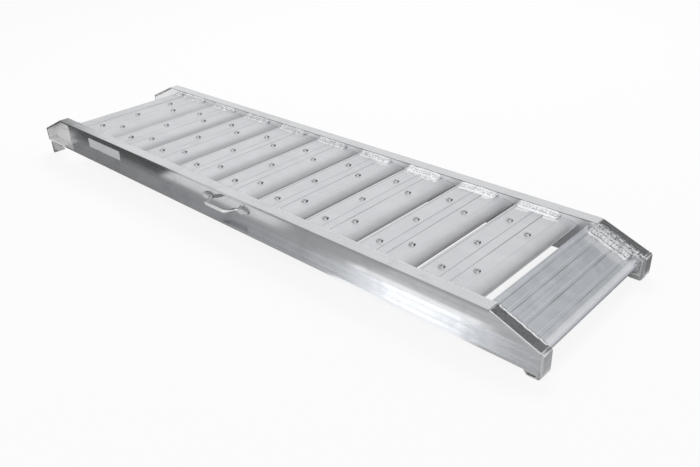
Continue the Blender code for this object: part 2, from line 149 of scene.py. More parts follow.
@dataclass(frozen=True)
class PlankSection:
    """The section of a ribbed plank, measured from its head edge along its top."""

    start: Point
    width: float
    depth: float
    ribs: tuple[float, ...]
    nose_length: float
    nose_drop: float
    slope: float = 0.0
    pitch: float = 1.0
    skin: float = 0.004
    rib: float = 0.0035
    edge_groove: float = 0.0055
    groove_width: float = 0.0014
    groove_depth: float = 0.0005
    groove_shares: tuple[float, ...] = (1.0, 1.0, 1.0, 1.0)
    nose_lip: float = 0.0007
    nose_steps: int = 20

    @property
    def grooves(self) -> list[Point]:
        """Where each thin groove in the top lies, and how deep and how dark it is next to a full one."""
        return list(zip((self.edge_groove, *self.ribs), self.groove_shares))

    def outline(self) -> list[Point]:
        """Draws the section.

        Returns:
            The points round its rim, as distances along and above the head edge.
        """
        points = [(0.0, 0.0)]
        for groove, share in self.grooves:
            points += groove_outline(groove, self.groove_width, self.groove_depth * share)
        nose_start = self.width - self.nose_length
        for step in range(self.nose_steps + 1):
            turn = math.pi / 2 * step / self.nose_steps
            ahead = self.nose_length * math.sin(turn)
            points.append((nose_start + ahead, -self.nose_drop * (1 - math.cos(turn))))
        points.append((self.width - self.nose_lip, -self.nose_drop - self.nose_lip))
        for rib in reversed(self.ribs):
            front, back = rib + self.rib / 2, rib - self.rib / 2
            points += [(front, -self.skin), (front, -self.depth), (back, -self.depth), (back, -self.skin)]
        return [*points, (self.rib, -self.skin), (self.rib, -self.depth), (0.0, -self.depth)]


TREAD_PLANK = PlankSection(
    start=(-0.581687, RAMP.deck_height),
    width=0.125,
    depth=0.028,
    ribs=(0.042, 0.063, 0.094),
    nose_length=0.030,
    nose_drop=0.0065,
    pitch=0.1345,
    groove_shares=(0.7, 0.75, 1.0, 0.35),
)
HEAD_PLANK = PlankSection(
    start=(-0.6295, RAMP.deck_height),
    width=0.045,
    depth=0.028,
    ribs=(0.0165, 0.031),
    nose_length=0.001,
    nose_drop=0.0,
    edge_groove=0.0065,
)
TOE_PLANK = PlankSection(
    start=(0.637113, RAMP.deck_height - 0.0165),
    width=0.110,
    depth=0.022,
    ribs=(0.026, 0.055, 0.082),
    nose_length=0.022,
    nose_drop=0.008,
    slope=RAMP.toe_slope,
)


# Node trees


class NodeBoard:
    """One node tree, with a short call for each kind of node that the ramp's finishes use."""

    def __init__(self, owner: Material | bpy.types.World) -> None:
        """Opens the nodes.

        Args:
            owner: the material or the world that they belong to.
        """
        owner.use_nodes = True
        self.owner = owner
        self.tree = owner.node_tree

    @classmethod
    def named(cls, name: str) -> "NodeBoard":
        """The nodes of a new material."""
        return cls(bpy.data.materials.new(name))

    @cached_property
    def place(self) -> Socket:
        """The piece's own coordinates."""
        return self.add("TexCoord").outputs["Object"]

    def feed(self, socket: Socket, value: object) -> None:
        """Gives a socket what it reads.

        Args:
            socket: the socket.
            value: another socket to link it to, or the value to set.
        """
        if isinstance(value, Socket):
            self.tree.links.new(value, socket)
        else:
            socket.default_value = value

    def add(self, kind: str, inputs: dict | None = None, **settings: object) -> bpy.types.Node:
        """Adds a node.

        Args:
            kind: the node's type, without its prefix.
            inputs: what its sockets read, each another socket or a value.
            settings: attributes to set on it.

        Returns:
            The new node.
        """
        node = self.tree.nodes.new(f"ShaderNode{kind}")
        for name, value in settings.items():
            setattr(node, name, value)
        for name, value in (inputs or {}).items():
            self.feed(node.inputs[name], value)
        return node

    def axis(self, name: str) -> Socket:
        """The piece's X, Y or Z coordinate."""
        return self.add("SeparateXYZ", {"Vector": self.place}).outputs[name]

    def noise(
        self, scale: float | Place, detail: float = 2.0, stir: float = 0.0, turn: float = 0.0
    ) -> Socket:
        """A noise pattern.

        Args:
            scale: how many features it has in a metre, all round or along X, Y and Z.
            detail: how many finer layers are added.
            stir: how far the pattern is stirred.
            turn: how far a pattern with three scales is turned about Z, in radians.

        Returns:
            The socket with its value, from 0 to 1.
        """
        place, size = self.place, scale
        if isinstance(scale, tuple):
            stretched = {"Vector": self.place, "Scale": scale, "Rotation": (0.0, 0.0, turn)}
            place, size = self.add("Mapping", stretched).outputs["Vector"], 1.0
        pattern = {"Vector": place, "Scale": size, "Detail": detail, "Distortion": stir}
        return self.add("TexNoise", pattern).outputs["Fac"]

    def remap(
        self, value: object, low: float, high: float, to_low: float = 0.0, to_high: float = 1.0
    ) -> Socket:
        """Runs smoothly from to_low, where the value is low or less, to to_high, where it is high or more."""
        ranges = {"Value": value, "From Min": low, "From Max": high, "To Min": to_low, "To Max": to_high}
        return self.add("MapRange", ranges, interpolation_type="SMOOTHSTEP").outputs["Result"]

    def calc(self, operation: str, *values: object) -> Socket:
        """Works an operation on some values, one after the other.

        Args:
            operation: the name of the operation.
            values: two or more sockets or numbers, or a single socket.

        Returns:
            The socket with the result.
        """
        result = values[0]
        for value in values[1:] or (0.0,):
            result = self.add("Math", {0: result, 1: value}, operation=operation).outputs[0]
        return result

    def times(self, *values: object) -> Socket:
        """The product of some values."""
        return self.calc("MULTIPLY", *values)

    def plus(self, *values: object) -> Socket:
        """The sum of some values."""
        return self.calc("ADD", *values)

    def minus(self, first: object, second: object) -> Socket:
        """The first value less the second."""
        return self.calc("SUBTRACT", first, second)

    def most(self, *values: object) -> Socket:
        """The greatest of some values."""
        return self.calc("MAXIMUM", *values)

    def blended(self, share: object, first: object, second: object) -> Socket:
        """Two numbers mixed, with share saying how much of the second there is."""
        return self.plus(first, self.times(share, self.minus(second, first)))

    def window(self, value: Socket, low: float, high: float, soft: float) -> Socket:
        """A mask that is 1 between two values and fades to 0 outside them.

        Args:
            value: the socket that is read.
            low: where the mask starts.
            high: where it ends.
            soft: the width of each fade.

        Returns:
            The socket with the mask.
        """
        half = soft / 2
        rise = self.remap(value, low - half, low + half)
        return self.times(rise, self.remap(value, high - half, high + half, 1.0, 0.0))

    def stops(self, value: Socket, points: tuple[Point, ...]) -> Socket:
        """A level that runs from stop to stop along a value.

        Args:
            value: the socket that is read.
            points: each stop's value and level, in rising order of value.

        Returns:
            The socket with the level.
        """
        low, high = points[0][0], points[-1][0]
        top = max(level for _, level in points)
        share = self.calc("DIVIDE", self.minus(value, low), high - low)
        node = self.add("ValToRGB", {"Fac": share})
        node.color_ramp.interpolation = "EASE"
        marks = node.color_ramp.elements
        while len(marks) < len(points):
            marks.new(0.5)
        for mark, (place, level) in zip(marks, points):
            mark.position = (place - low) / (high - low)
            mark.color = (*[level / top] * 3, 1.0)
        return self.times(node.outputs["Color"], top)

    def carried(self, name: str) -> Socket:
        """A number that the piece's own points carry."""
        return self.add("Attribute", attribute_name=name, attribute_type="GEOMETRY").outputs["Fac"]

    def mixed(self, share: object, first: object, second: object) -> Socket:
        """Two colours mixed.

        Args:
            share: how much of the second colour there is.
            first: a socket or a colour.
            second: a socket or a colour.

        Returns:
            The socket with the colour.
        """
        node = self.add("Mix", {"Factor": share}, data_type="RGBA")
        sockets = [socket for socket in node.inputs if socket.type == "RGBA"]
        for socket, value in zip(sockets, (first, second)):
            self.feed(socket, value if isinstance(value, Socket) else (*value, 1.0))
        return [socket for socket in node.outputs if socket.type == "RGBA"][0]

    def bump(self, height: Socket, strength: float, depth: float) -> Socket:
        """The normal of a surface with relief, whose depth is in metres."""
        relief = {"Strength": strength, "Distance": depth, "Height": height}
        return self.add("Bump", relief).outputs["Normal"]

    def finish(self, colour: Socket, roughness: Socket, normal: Socket, metallic: object = 1.0) -> Material:
        """Feeds the shader.

        Args:
            colour: the base colour.
            roughness: the roughness.
            normal: the normal.
            metallic: 1 for bare metal, or a socket where it differs over the surface.

        Returns:
            The material.
        """
        shader = self.tree.nodes["Principled BSDF"]
        values = {"Metallic": metallic, "Base Color": colour, "Roughness": roughness, "Normal": normal}
        for name, value in values.items():
            self.feed(shader.inputs[name], value)
        return self.owner

    def show(self, surface: Socket) -> Material:
        """Puts another shader in the place of the usual one.

        Args:
            surface: the shader's socket.

        Returns:
            The material.
        """
        self.feed(self.tree.nodes["Material Output"].inputs["Surface"], surface)
        self.tree.nodes.remove(self.tree.nodes["Principled BSDF"])
        return self.owner

    def glow_only(self, level: Socket) -> Material:
        """The material as one that only glows, at a level of grey."""
        return self.show(self.add("Emission", {"Strength": level}).outputs["Emission"])


# Finishes


class Grain(Enum):
    """The way a piece was drawn, as the scale of its lines along X, Y and Z."""

    ALONG = (1.2, 520.0, 520.0)
    ACROSS = (520.0, 1.5, 520.0)


@dataclass(frozen=True)
class DrawnMetal:
    """Satin aluminium with the fine lines of its die, cloudy patches and stray scratches."""

    name: str
    light: Colour
    dark: Colour
    roughness: float
    grain: Grain = Grain.ALONG
    relief: float = 0.25
    cloud: float = 0.04
    scratches: float = 0.35
    scratch: Colour = (0.92, 0.92, 0.92)
    scratch_turn: float = 0.7
    relief_depth: float = 0.0002

    def surface(self, board: NodeBoard) -> tuple[Socket, Socket, Socket]:
        """Makes what every drawn piece shares.

        Args:
            board: the material's nodes.

        Returns:
            The sockets with the colour, the roughness and the normal.
        """
        lines = board.noise(self.grain.value, 3.0)
        tone = board.blended(0.45, lines, board.noise(14.0, 4.0, 0.6))
        colour = board.mixed(board.remap(tone, 0.36, 0.64), self.dark, self.light)
        stray = board.noise((9.0, 900.0, 900.0), 1.0, turn=self.scratch_turn)
        colour = board.mixed(board.remap(stray, 0.70, 0.74, 0.0, self.scratches), colour, self.scratch)
        clouds = board.remap(board.noise(40.0, 3.0), *MIDDLE, -self.cloud, self.cloud)
        drawn = board.remap(lines, *MIDDLE, self.roughness - 0.04, self.roughness + 0.04)
        return colour, board.plus(clouds, drawn), board.bump(lines, self.relief, self.relief_depth)

    def material(self) -> Material:
        """The finished material."""
        board = NodeBoard.named(self.name)
        return board.finish(*self.surface(board))


@dataclass(frozen=True)
class PlankMetal(DrawnMetal):
    """Drawn metal of a plank: darker in its grooves, with painted shade on its nose, a painted highlight
    where the toe's nose starts, streaks of painted shade on its pips' flanks, and brushed bright beside its
    far weld.
    """

    section: PlankSection = TREAD_PLANK
    # The darker colour of the grooves, and of the painted shade on the nose.
    dull: Colour = (0.20, 0.20, 0.21)
    # The colour of the painted shade on the pips' flanks.
    black: Colour = (0.03, 0.03, 0.03)
    # How dark the painted shade on the nose gets, where along the top it runs, and how strong it is along the
    # ramp.
    nose_shade: float = 0.50
    nose_shade_from: float = 0.091
    dull_to: float = 0.125
    nose_shade_along: tuple[Point, ...] = (
        (-0.60, 0.6), (-0.45, 0.6), (-0.40, 1.0), (0.49, 1.0), (0.50, 0.45), (0.65, 0.45),
    )
    # A painted highlight across the start of the nose: its colour, its strength and where it runs.
    nose_highlight: Colour = (0.97, 0.985, 1.0)
    polish: float = 0.0
    polish_from: float = 0.0935
    polish_to: float = 0.1015
    patch_low: float = 0.1365
    patch_high: float = 0.1440
    patch_share: float = 0.5
    patch_level: float = 0.95
    patch_cover: float = 0.85
    patch_start: float = 0.008
    patch_end: float = 0.096

    def along(self, board: NodeBoard) -> Socket:
        """Measures along the plank's top from its head edge.

        Args:
            board: the material's nodes.

        Returns:
            The socket with the distance.
        """
        start_along, start_up = self.section.start
        level = board.times(board.minus(board.axis("X"), start_along), math.cos(self.section.slope))
        level = board.calc("MODULO", level, self.section.pitch)
        fall = board.times(board.minus(start_up, board.axis("Z")), math.sin(self.section.slope))
        return board.plus(level, fall)

    def grooves_and_nose_shade(self, board: NodeBoard, along: Socket) -> Socket:
        """How dark the metal is: darker in its grooves, and darker on its nose with painted shade.

        Args:
            board: the material's nodes.
            along: the distance along the plank's top.

        Returns:
            The socket with the share.
        """
        half = self.section.groove_width * 0.55
        lines = [
            board.times(board.window(along, groove - half, groove + half, half), share)
            for groove, share in self.section.grooves
        ]
        worn = board.remap(board.noise((60.0, 8.0, 60.0)), *MIDDLE, 0.15, 0.75)
        # Painted shade on the nose, darker towards its edge and changing in strength along the ramp.
        nose = board.remap(along, self.nose_shade_from, self.dull_to, 0.0, self.nose_shade)
        nose = board.times(nose, board.stops(board.axis("X"), self.nose_shade_along))
        return board.most(board.times(board.most(*lines), worn), nose)

    def patches(self, board: NodeBoard, along: Socket) -> Socket:
        """The mask of the ragged patches that a brush left beside the far weld bead.

        Args:
            board: the material's nodes.
            along: the distance along the plank's top.

        Returns:
            The socket with the mask.
        """
        ragged = board.noise((42.0, 25.0, 42.0), 3.0)
        across = board.minus(board.axis("Y"), RAMP.centreline)
        wavy = board.plus(across, board.remap(ragged, *MIDDLE, -0.002, 0.002))
        edge = 0.62 - 0.24 * self.patch_share
        return board.times(
            board.window(wavy, self.patch_low, self.patch_high, 0.002),
            board.remap(ragged, edge - 0.02, edge + 0.02),
            board.window(along, self.patch_start, self.patch_end, 0.004),
            board.remap(board.axis("X"), *HEAD_TO_TOE_SPAN, 0.15, 1.0),
            self.patch_cover,
        )

    def material(self) -> Material:
        """Makes the material.

        Returns:
            The finished material.
        """
        board = NodeBoard.named(self.name)
        colour, roughness, normal = self.surface(board)
        along = self.along(board)
        # Darker grooves, and painted shade on the nose.
        colour = board.mixed(self.grooves_and_nose_shade(board, along), colour, self.dull)
        # A painted highlight across the start of the nose.
        painted_highlight = board.times(board.window(along, self.polish_from, self.polish_to, 0.003), self.polish)
        colour = board.mixed(painted_highlight, colour, self.nose_highlight)
        # Painted shade: dark streaks on the pips' flanks, which the pips' points carry.
        colour = board.mixed(board.carried(SOOT_AND_SHADE), colour, self.black)
        colour = board.mixed(self.patches(board, along), colour, (self.patch_level,) * 3)
        return board.finish(colour, roughness, normal)


@dataclass(frozen=True)
class RailMetal(DrawnMetal):
    """Drawn metal of a rail: brushed on the web's inner side, with a painted shadow line there under the top
    flange, and cleaned white outside the near rail's head.
    """

    smudge: Colour = (0.42, 0.43, 0.45)
    brushed_dark: Colour = (0.84, 0.85, 0.86)
    brushed_light: Colour = (0.96, 0.96, 0.97)
    brushed: float = 0.46
    cleaned_to: float = -0.658
    # The colour and heights of the painted shadow line under the top flange.
    corner: Colour = (0.16, 0.17, 0.17)
    corner_low: float = 0.0024
    corner_high: float = 0.0006

    def material(self) -> Material:
        """Makes the material.

        Returns:
            The finished material.
        """
        board = NodeBoard.named(self.name)
        colour, roughness, normal = self.surface(board)
        smudges = board.noise((17.0, 20.0, 22.0), 3.0, 1.2)
        colour = board.mixed(board.remap(smudges, 0.52, 0.66, 0.0, 0.20), colour, self.smudge)
        across = board.calc("ABSOLUTE", board.minus(board.axis("Y"), RAMP.centreline))
        inside = board.remap(across, RAMP.web_inner + 0.0004, RAMP.web_inner + 0.0008, 1.0, 0.0)
        streaks = board.noise((60.0, 60.0, 400.0), 3.0)
        colour = board.mixed(inside, colour, board.mixed(streaks, self.brushed_dark, self.brushed_light))
        # A painted shadow line under the top flange, on the web's inner side.
        low, high = RAMP.rail_top - self.corner_low, RAMP.rail_top - self.corner_high
        flange_shadow_line = board.times(board.window(board.axis("Z"), low, high, 0.0008), inside, 0.75)
        colour = board.mixed(flange_shadow_line, colour, self.corner)
        wavy = board.plus(board.axis("X"), board.remap(streaks, *MIDDLE, -0.004, 0.004))
        web = RAMP.across(Side.NEAR, RAMP.web_outer)
        outside = board.remap(board.axis("Y"), web + 0.001, web + 0.0005)
        cleaned = board.times(board.remap(wavy, self.cleaned_to + 0.006, self.cleaned_to - 0.006), outside)
        colour = board.mixed(cleaned, colour, board.mixed(board.remap(smudges, 0.5, 0.7), CLEANED, SCOURED))
        rougher = board.times(board.most(inside, cleaned), self.brushed - self.roughness)
        return board.finish(colour, board.plus(roughness, rougher), normal, board.minus(1.0, cleaned))


@dataclass(frozen=True)
class HeadPlateMetal(DrawnMetal):
    """Drawn metal of the near end plate at the head, cleaned white inside the rail."""

    inner_face: float = -0.7453
    rougher: float = 0.3

    def material(self) -> Material:
        """Makes the material.

        Returns:
            The finished material.
        """
        board = NodeBoard.named(self.name)
        colour, roughness, normal = self.surface(board)
        cleaned = board.remap(board.axis("X"), self.inner_face - 0.0003, self.inner_face + 0.0001)
        colour = board.mixed(cleaned, colour, CLEANED)
        roughness = board.plus(roughness, board.times(cleaned, self.rougher))
        return board.finish(colour, roughness, normal, board.minus(1.0, cleaned))


@dataclass(frozen=True)
class MattSurface:
    """A plain matt surface, such as a coat or torn metal, scuffed a little."""

    name: str
    coat: Colour = (0.79, 0.80, 0.82)
    scuff: Colour = (0.55, 0.55, 0.56)
    roughness: float = 0.42

    def material(self) -> Material:
        """Makes the material.

        Returns:
            The finished material.
        """
        board = NodeBoard.named(self.name)
        scuffs = board.remap(board.noise((40.0, 300.0, 300.0), 3.0), 0.60, 0.70, 0.0, 0.6)
        colour = board.mixed(scuffs, self.coat, self.scuff)
        grain = board.noise(900.0)
        roughness = board.remap(grain, *MIDDLE, self.roughness - 0.06, self.roughness + 0.06)
        return board.finish(colour, roughness, board.bump(grain, 0.1, 0.0001), 0.0)


@dataclass(frozen=True)
class WeldMetal:
    """Weld metal, mottled, with dull soot where its ripples meet, and greyer towards the head."""

    name: str
    light: Colour
    dark: Colour
    soot: Colour = (0.16, 0.16, 0.17)
    grit: float = 420.0
    head_grey: Colour = (0.42, 0.43, 0.44)
    metallic: float = 1.0

    def material(self) -> Material:
        """Makes the material.

        Returns:
            The finished material.
        """
        board = NodeBoard.named(self.name)
        mottle = board.noise(self.grit, 4.0, 0.8)
        tone = board.blended(0.4, mottle, board.noise(90.0))
        colour = board.mixed(board.remap(tone, 0.38, 0.56), self.dark, self.light)
        head_greying = board.remap(board.axis("X"), *reversed(HEAD_TO_TOE_SPAN))
        head_greying = board.times(head_greying, board.remap(tone, 0.56, 0.40, 0.2, 0.7))
        colour = board.mixed(head_greying, colour, self.head_grey)
        specks = board.remap(board.noise(700.0, 1.0), 0.66, 0.72, 0.0, 0.7)
        colour = board.mixed(board.most(specks, board.carried(SOOT_AND_SHADE)), colour, self.soot)
        roughness = board.remap(mottle, *MIDDLE, 0.50, 0.32)
        return board.finish(colour, roughness, board.bump(mottle, 0.35, 0.0005), self.metallic)


Finish = DrawnMetal | MattSurface | WeldMetal

RAIL_METAL = RailMetal(
    "rail_metal", (0.635, 0.645, 0.66), (0.59, 0.60, 0.615), 0.16, relief=0.04, cloud=0.015
)
PLATE_METAL = DrawnMetal(
    "closing_plate_metal", (0.77, 0.78, 0.80), (0.63, 0.64, 0.66), 0.20, relief=0.06, cloud=0.03
)
HEAD_PLATE = HeadPlateMetal(
    "head_plate_metal", (0.68, 0.69, 0.705), (0.58, 0.59, 0.605), 0.42, relief=0.06, cloud=0.03
)
HOOK_METAL = DrawnMetal("hook_metal", (0.66, 0.66, 0.66), (0.55, 0.55, 0.56), 0.33, Grain.ACROSS)
PAD_METAL = DrawnMetal("foot_pad_metal", (0.64, 0.64, 0.64), (0.52, 0.52, 0.52), 0.34, Grain.ACROSS)
ROD_METAL = DrawnMetal("handle_rod_metal", (0.80, 0.80, 0.80), (0.70, 0.70, 0.70), 0.20)
TREAD_METAL = PlankMetal("tread_metal", (0.68, 0.69, 0.71), (0.63, 0.64, 0.66), 0.46, Grain.ACROSS, 0.08)
HEAD_STRIP_METAL = replace(TREAD_METAL, name="head_strip_metal", section=HEAD_PLANK, nose_shade=0.0)
TOE_METAL = PlankMetal(
    name="toe_tread_metal",
    light=(0.755, 0.785, 0.825),
    dark=(0.73, 0.76, 0.80),
    roughness=0.48,
    grain=Grain.ACROSS,
    relief=0.05,
    cloud=0.03,
    scratches=0.10,
    section=TOE_PLANK,
    # Painted shade on the nose, and a painted highlight where the nose starts.
    nose_shade=0.60,
    nose_shade_from=0.0990,
    dull_to=0.1065,
    nose_shade_along=((0.0, 1.0), (1.0, 1.0)),
    polish=0.75,
    polish_from=0.0900,
    polish_to=0.0985,
    patch_low=0.121,
    patch_high=0.140,
    patch_share=0.85,
    patch_level=0.98,
    patch_cover=0.45,
)
PUNCHED = MattSurface("punched_edge_metal", (0.95, 0.95, 0.96), (0.78, 0.78, 0.79), 0.5)
LABEL_COAT = MattSurface("label_plate_coat")
WELD = WeldMetal("weld_metal", (0.93, 0.94, 0.96), (0.76, 0.77, 0.79))
HANDLE_WELD = WeldMetal(
    name="handle_weld_metal",
    light=(0.93, 0.94, 0.95),
    dark=(0.80, 0.81, 0.82),
    soot=(0.20, 0.20, 0.21),
    grit=600.0,
    head_grey=(0.78, 0.79, 0.80),
    metallic=0.35,
)
TOE_WELD = WeldMetal("toe_weld_metal", (0.80, 0.81, 0.82), (0.44, 0.44, 0.45), (0.12, 0.12, 0.13), 800.0)
EDGE_METAL = DrawnMetal("worn_edge_metal", (0.86, 0.86, 0.86), (0.70, 0.70, 0.70), 0.24, relief=0.1)
# Darker finishes for rounded edges: painted shade along the edges of the rails, hooks and the head's closing
# pieces.
RAIL_EDGE_SHADE = DrawnMetal("rail_edge_shade", (0.40, 0.40, 0.41), (0.30, 0.30, 0.31), 0.30, relief=0.1)
DARK_EDGE_SHADE = DrawnMetal("dark_edge_shade", (0.20, 0.20, 0.21), (0.11, 0.11, 0.12), 0.34, relief=0.1)


@cache
def material_of(finish: Finish) -> Material:
    """The material of a finish, made for the first piece that has it."""
    return finish.material()


# Shapes


def smooth_step(value: float, low: float, high: float) -> float:
    """Rises smoothly from 0 at low to 1 at high."""
    share = min(1.0, max(0.0, (value - low) / (high - low)))
    return share * share * (3 - 2 * share)


def mark_smooth(shape: Shape) -> None:
    """Shades a bend's narrow facets smooth and leaves the wide flat faces as they are.

    Args:
        shape: the shape.
    """
    for edge in shape.edges:
        if len(edge.link_faces) == 2 and FLAT_ANGLE < edge.calc_face_angle(0.0) < SHARP_ANGLE:
            for face in edge.link_faces:
                longest = max(side.calc_length() for side in face.edges)
                if face.calc_area() / longest < FACET_WIDTH:
                    face.smooth = True


def round_edges(shape: Shape, edges: list[bmesh.types.BMEdge], width: float, steps: int, finish: int) -> None:
    """Rounds some edges of a shape.

    Args:
        shape: the shape.
        edges: its edges.
        width: how far the rounding reaches from an edge.
        steps: how many facets it has.
        finish: the place of its finish among the piece's.
    """
    rounded = bmesh.ops.bevel(
        shape,
        geom=edges,
        offset=width,
        offset_type="OFFSET",
        affect="EDGES",
        segments=steps,
        profile=0.5,
        material=-1,
        clamp_overlap=True,
    )
    for face in rounded["faces"]:
        face.smooth = True
        face.material_index = finish


def soften(shape: Shape, width: float, finish: int = 1) -> None:
    """Rounds every sharp edge of a closed shape.

    Args:
        shape: the shape.
        width: how far the rounding reaches from an edge.
        finish: the place of its finish among the piece's, where the second is the edges' own: lighter and
            worn on some pieces, darker with painted shade on others.
    """
    mark_smooth(shape)
    sharp = [edge for edge in shape.edges if edge.calc_face_angle(0.0) > SHARP_ANGLE]
    round_edges(shape, sharp, width, 3, finish)


def turn_out(shape: Shape) -> None:
    """Points a closed shape's faces outwards and shades them smooth.

    Args:
        shape: the shape.
    """
    bmesh.ops.recalc_face_normals(shape, faces=shape.faces)
    for face in shape.faces:
        face.smooth = True


def parts_of(geometry: list, kind: type) -> list:
    """The points or the edges among an operator's results."""
    return [part for part in geometry if isinstance(part, kind)]


def copied_shape(node: str) -> Shape:
    """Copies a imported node's own shape, with its triangles joined into flat faces.

    Args:
        node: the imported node.

    Returns:
        The new shape.
    """
    shape = bmesh.new()
    shape.from_mesh(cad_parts[node].data)
    bmesh.ops.remove_doubles(shape, verts=shape.verts, dist=WELDED)
    bmesh.ops.dissolve_limit(
        shape, angle_limit=FLAT_ANGLE, verts=shape.verts, edges=shape.edges, use_dissolve_boundaries=False
    )
    return shape


def arc(centre: Point, radius: float, start: float, end: float) -> list[Point]:
    """Points round a bend.

    Args:
        centre: the bend's centre.
        radius: its radius.
        start: the first point's angle in degrees.
        end: the last point's angle in degrees.

    Returns:
        The points, from start to end.
    """
    steps = 12
    turns = [math.radians(start + (end - start) * step / steps) for step in range(steps + 1)]
    return [(centre[0] + radius * math.cos(turn), centre[1] + radius * math.sin(turn)) for turn in turns]


def extruded_shape(outline: list[Point], low: float, high: float) -> Shape:
    """A section seen from the side, made solid across the ramp.

    Args:
        outline: the section's points, as X and Z.
        low: the Y where the solid starts.
        high: the Y where it ends.

    Returns:
        The new shape.
    """
    shape = bmesh.new()
    corners = [shape.verts.new((along, low, up)) for along, up in outline]
    rim = [shape.edges.new(pair) for pair in zip(corners, corners[1:] + corners[:1])]
    section = bmesh.ops.contextual_create(shape, geom=rim)["faces"]
    grown = bmesh.ops.extrude_face_region(shape, geom=section, use_keep_orig=True)["geom"]
    bmesh.ops.translate(shape, vec=(0.0, high - low, 0.0), verts=parts_of(grown, bmesh.types.BMVert))
    bmesh.ops.recalc_face_normals(shape, faces=shape.faces)
    return shape


def linked(name: str, data: bpy.types.ID) -> bpy.types.Object:
    """Adds an object to the scene.

    Args:
        name: its name.
        data: its mesh, lamp or camera.

    Returns:
        The object.
    """
    thing = bpy.data.objects.new(name, data)
    bpy.context.scene.collection.objects.link(thing)
    return thing


def add_object(name: str, shape: Shape, *materials: Material) -> bpy.types.Object:
    """Turns a shape into an object of the scene.

    Args:
        name: the object's name.
        shape: its shape, which is freed.
        materials: its materials, in the order that its faces count them.

    Returns:
        The object.
    """
    mesh = bpy.data.meshes.new(name)
    shape.to_mesh(mesh)
    shape.free()
    for material in materials:
        mesh.materials.append(material)
    return linked(name, mesh)


def add_piece(name: str, slot: str, shape: Shape, *finishes: Finish, node: str = "") -> None:
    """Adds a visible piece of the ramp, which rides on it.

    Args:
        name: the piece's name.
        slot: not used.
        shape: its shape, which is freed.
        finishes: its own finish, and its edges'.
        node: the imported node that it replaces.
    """
    for edge in shape.edges:
        edge.smooth = all(face.smooth for face in edge.link_faces)
    thing = add_object(name, shape, *map(material_of, finishes))
    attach(thing, BODY)
    if node:
        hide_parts(node)
    LOG.info("%s: %d faces", name, len(thing.data.polygons))


def add_stage(name: str, shape: Shape, material: Material, hidden: bool = True) -> None:
    """Adds something that isn't part of the ramp.

    Args:
        name: its name.
        shape: its shape, which is freed.
        material: its material.
        hidden: whether only the metal's reflections show it.
    """
    thing = add_object(name, shape, material)
    if hidden:
        thing.visible_camera = False
        thing.visible_diffuse = False
        thing.visible_shadow = False


# Sub-assemblies


@dataclass
class SideRail:
    """One rail: its channel, the strips and plates that close it, its hook and its foot pad."""

    side: Side
    edge_radius: float = 0.0007
    rail_edge_radius: float = 0.0011
    head_edge_radius: float = 0.0018
    toe_edge_radius: float = 0.0013
    pad_edge_radius: float = 0.00042
    bend_radius: float = 0.0034
    bend_steps: int = 8
    hook_thickness: float = 0.0065
    hook_bend: float = 0.003
    pad_skin: float = 0.0019
    pad_slot: float = 0.006
    pad_slot_taper: float = 0.00005

    def build(self) -> None:
        """Makes and dresses the rail's pieces."""
        # The rounded edges of the rails, hooks and head's closing pieces carry painted shade; the toe strips'
        # edges are lighter.
        self.soft_copy("rail", "rail", self.rail_edge_radius, RAIL_METAL, RAIL_EDGE_SHADE)
        for end in End:
            edge, radius = EDGE_METAL, self.toe_edge_radius
            if end is End.HEAD:
                edge, radius = DARK_EDGE_SHADE, self.head_edge_radius
            self.soft_copy(f"{end.label}_slope_strip", "closing_plates", radius, PLATE_METAL, edge)
            metals = (PLATE_METAL, edge)
            if end is End.HEAD and self.side is Side.NEAR:
                metals = (HEAD_PLATE, RAIL_EDGE_SHADE)
            node = f"{self.side.label}_{end.label}_end_plate"
            add_piece(f"{node}_piece", "closing_plates", self.end_plate(node, end), *metals, node=node)
        self.build_hook()
        self.build_pad()

    def soft_copy(self, part: str, slot: str, radius: float, *metals: DrawnMetal) -> None:
        """Makes a piece with a node's shape and rounded edges.

        Args:
            part: the node's name without its side.
            slot: the name of a material slot, passed on to add_piece.
            radius: how far the rounding reaches from each edge.
            metals: the piece's own finish and its edges'.
        """
        node = f"{self.side.label}_{part}"
        shape = copied_shape(node)
        soften(shape, radius)
        add_piece(f"{node}_piece", slot, shape, *metals, node=node)

    def end_plate(self, node: str, end: End) -> Shape:
        """An end plate, whose outer top edge is a wide bend down from the sloped strip.

        Args:
            node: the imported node.
            end: the ramp's end.

        Returns:
            The new shape.
        """
        shape = copied_shape(node)
        low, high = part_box(node)
        outer = high.x if end is End.TOE else low.x
        foot = low.z + 0.01
        tops = {point for point in shape.verts if abs(point.co.x - outer) < WELDED and point.co.z > foot}
        bend = [edge for edge in shape.edges if tops.issuperset(edge.verts)]
        round_edges(shape, bend, self.bend_radius, self.bend_steps, 0)
        soften(shape, self.edge_radius)
        return shape

    def build_hook(self) -> None:
        """Makes the hook: a plate that lies below the flange and bends down at the head."""
        node = f"{self.side.label}_hook"
        low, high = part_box(node)
        thick, inner = self.hook_thickness, self.hook_bend
        bend = (low.x + thick + inner, high.z - thick - inner)
        outline = [
            (low.x, low.z),
            *arc(bend, inner + thick, 180, 90),
            (high.x, high.z),
            (high.x, high.z - thick),
            *arc(bend, inner, 90, 180),
            (low.x + thick, low.z),
        ]
        shape = extruded_shape(outline, low.y, high.y)
        soften(shape, self.edge_radius)
        add_piece(f"{node}_plate", "hook", shape, HOOK_METAL, RAIL_EDGE_SHADE, node=node)

    def build_pad(self) -> None:
        """Makes the foot pad, which is open on its outer side."""
        node = f"{self.side.label}_foot_pad"
        shape = copied_shape(node)
        outer = [face for face in shape.faces if face.normal.y * self.side.value > 0.9]
        bmesh.ops.inset_region(shape, faces=outer, thickness=self.pad_skin, use_even_offset=True)
        bmesh.ops.inset_individual(shape, faces=outer, thickness=self.pad_slot_taper, depth=-self.pad_slot)
        soften(shape, self.pad_edge_radius)
        add_piece(f"{node}_piece", "foot_pad", shape, PAD_METAL, EDGE_METAL, node=node)


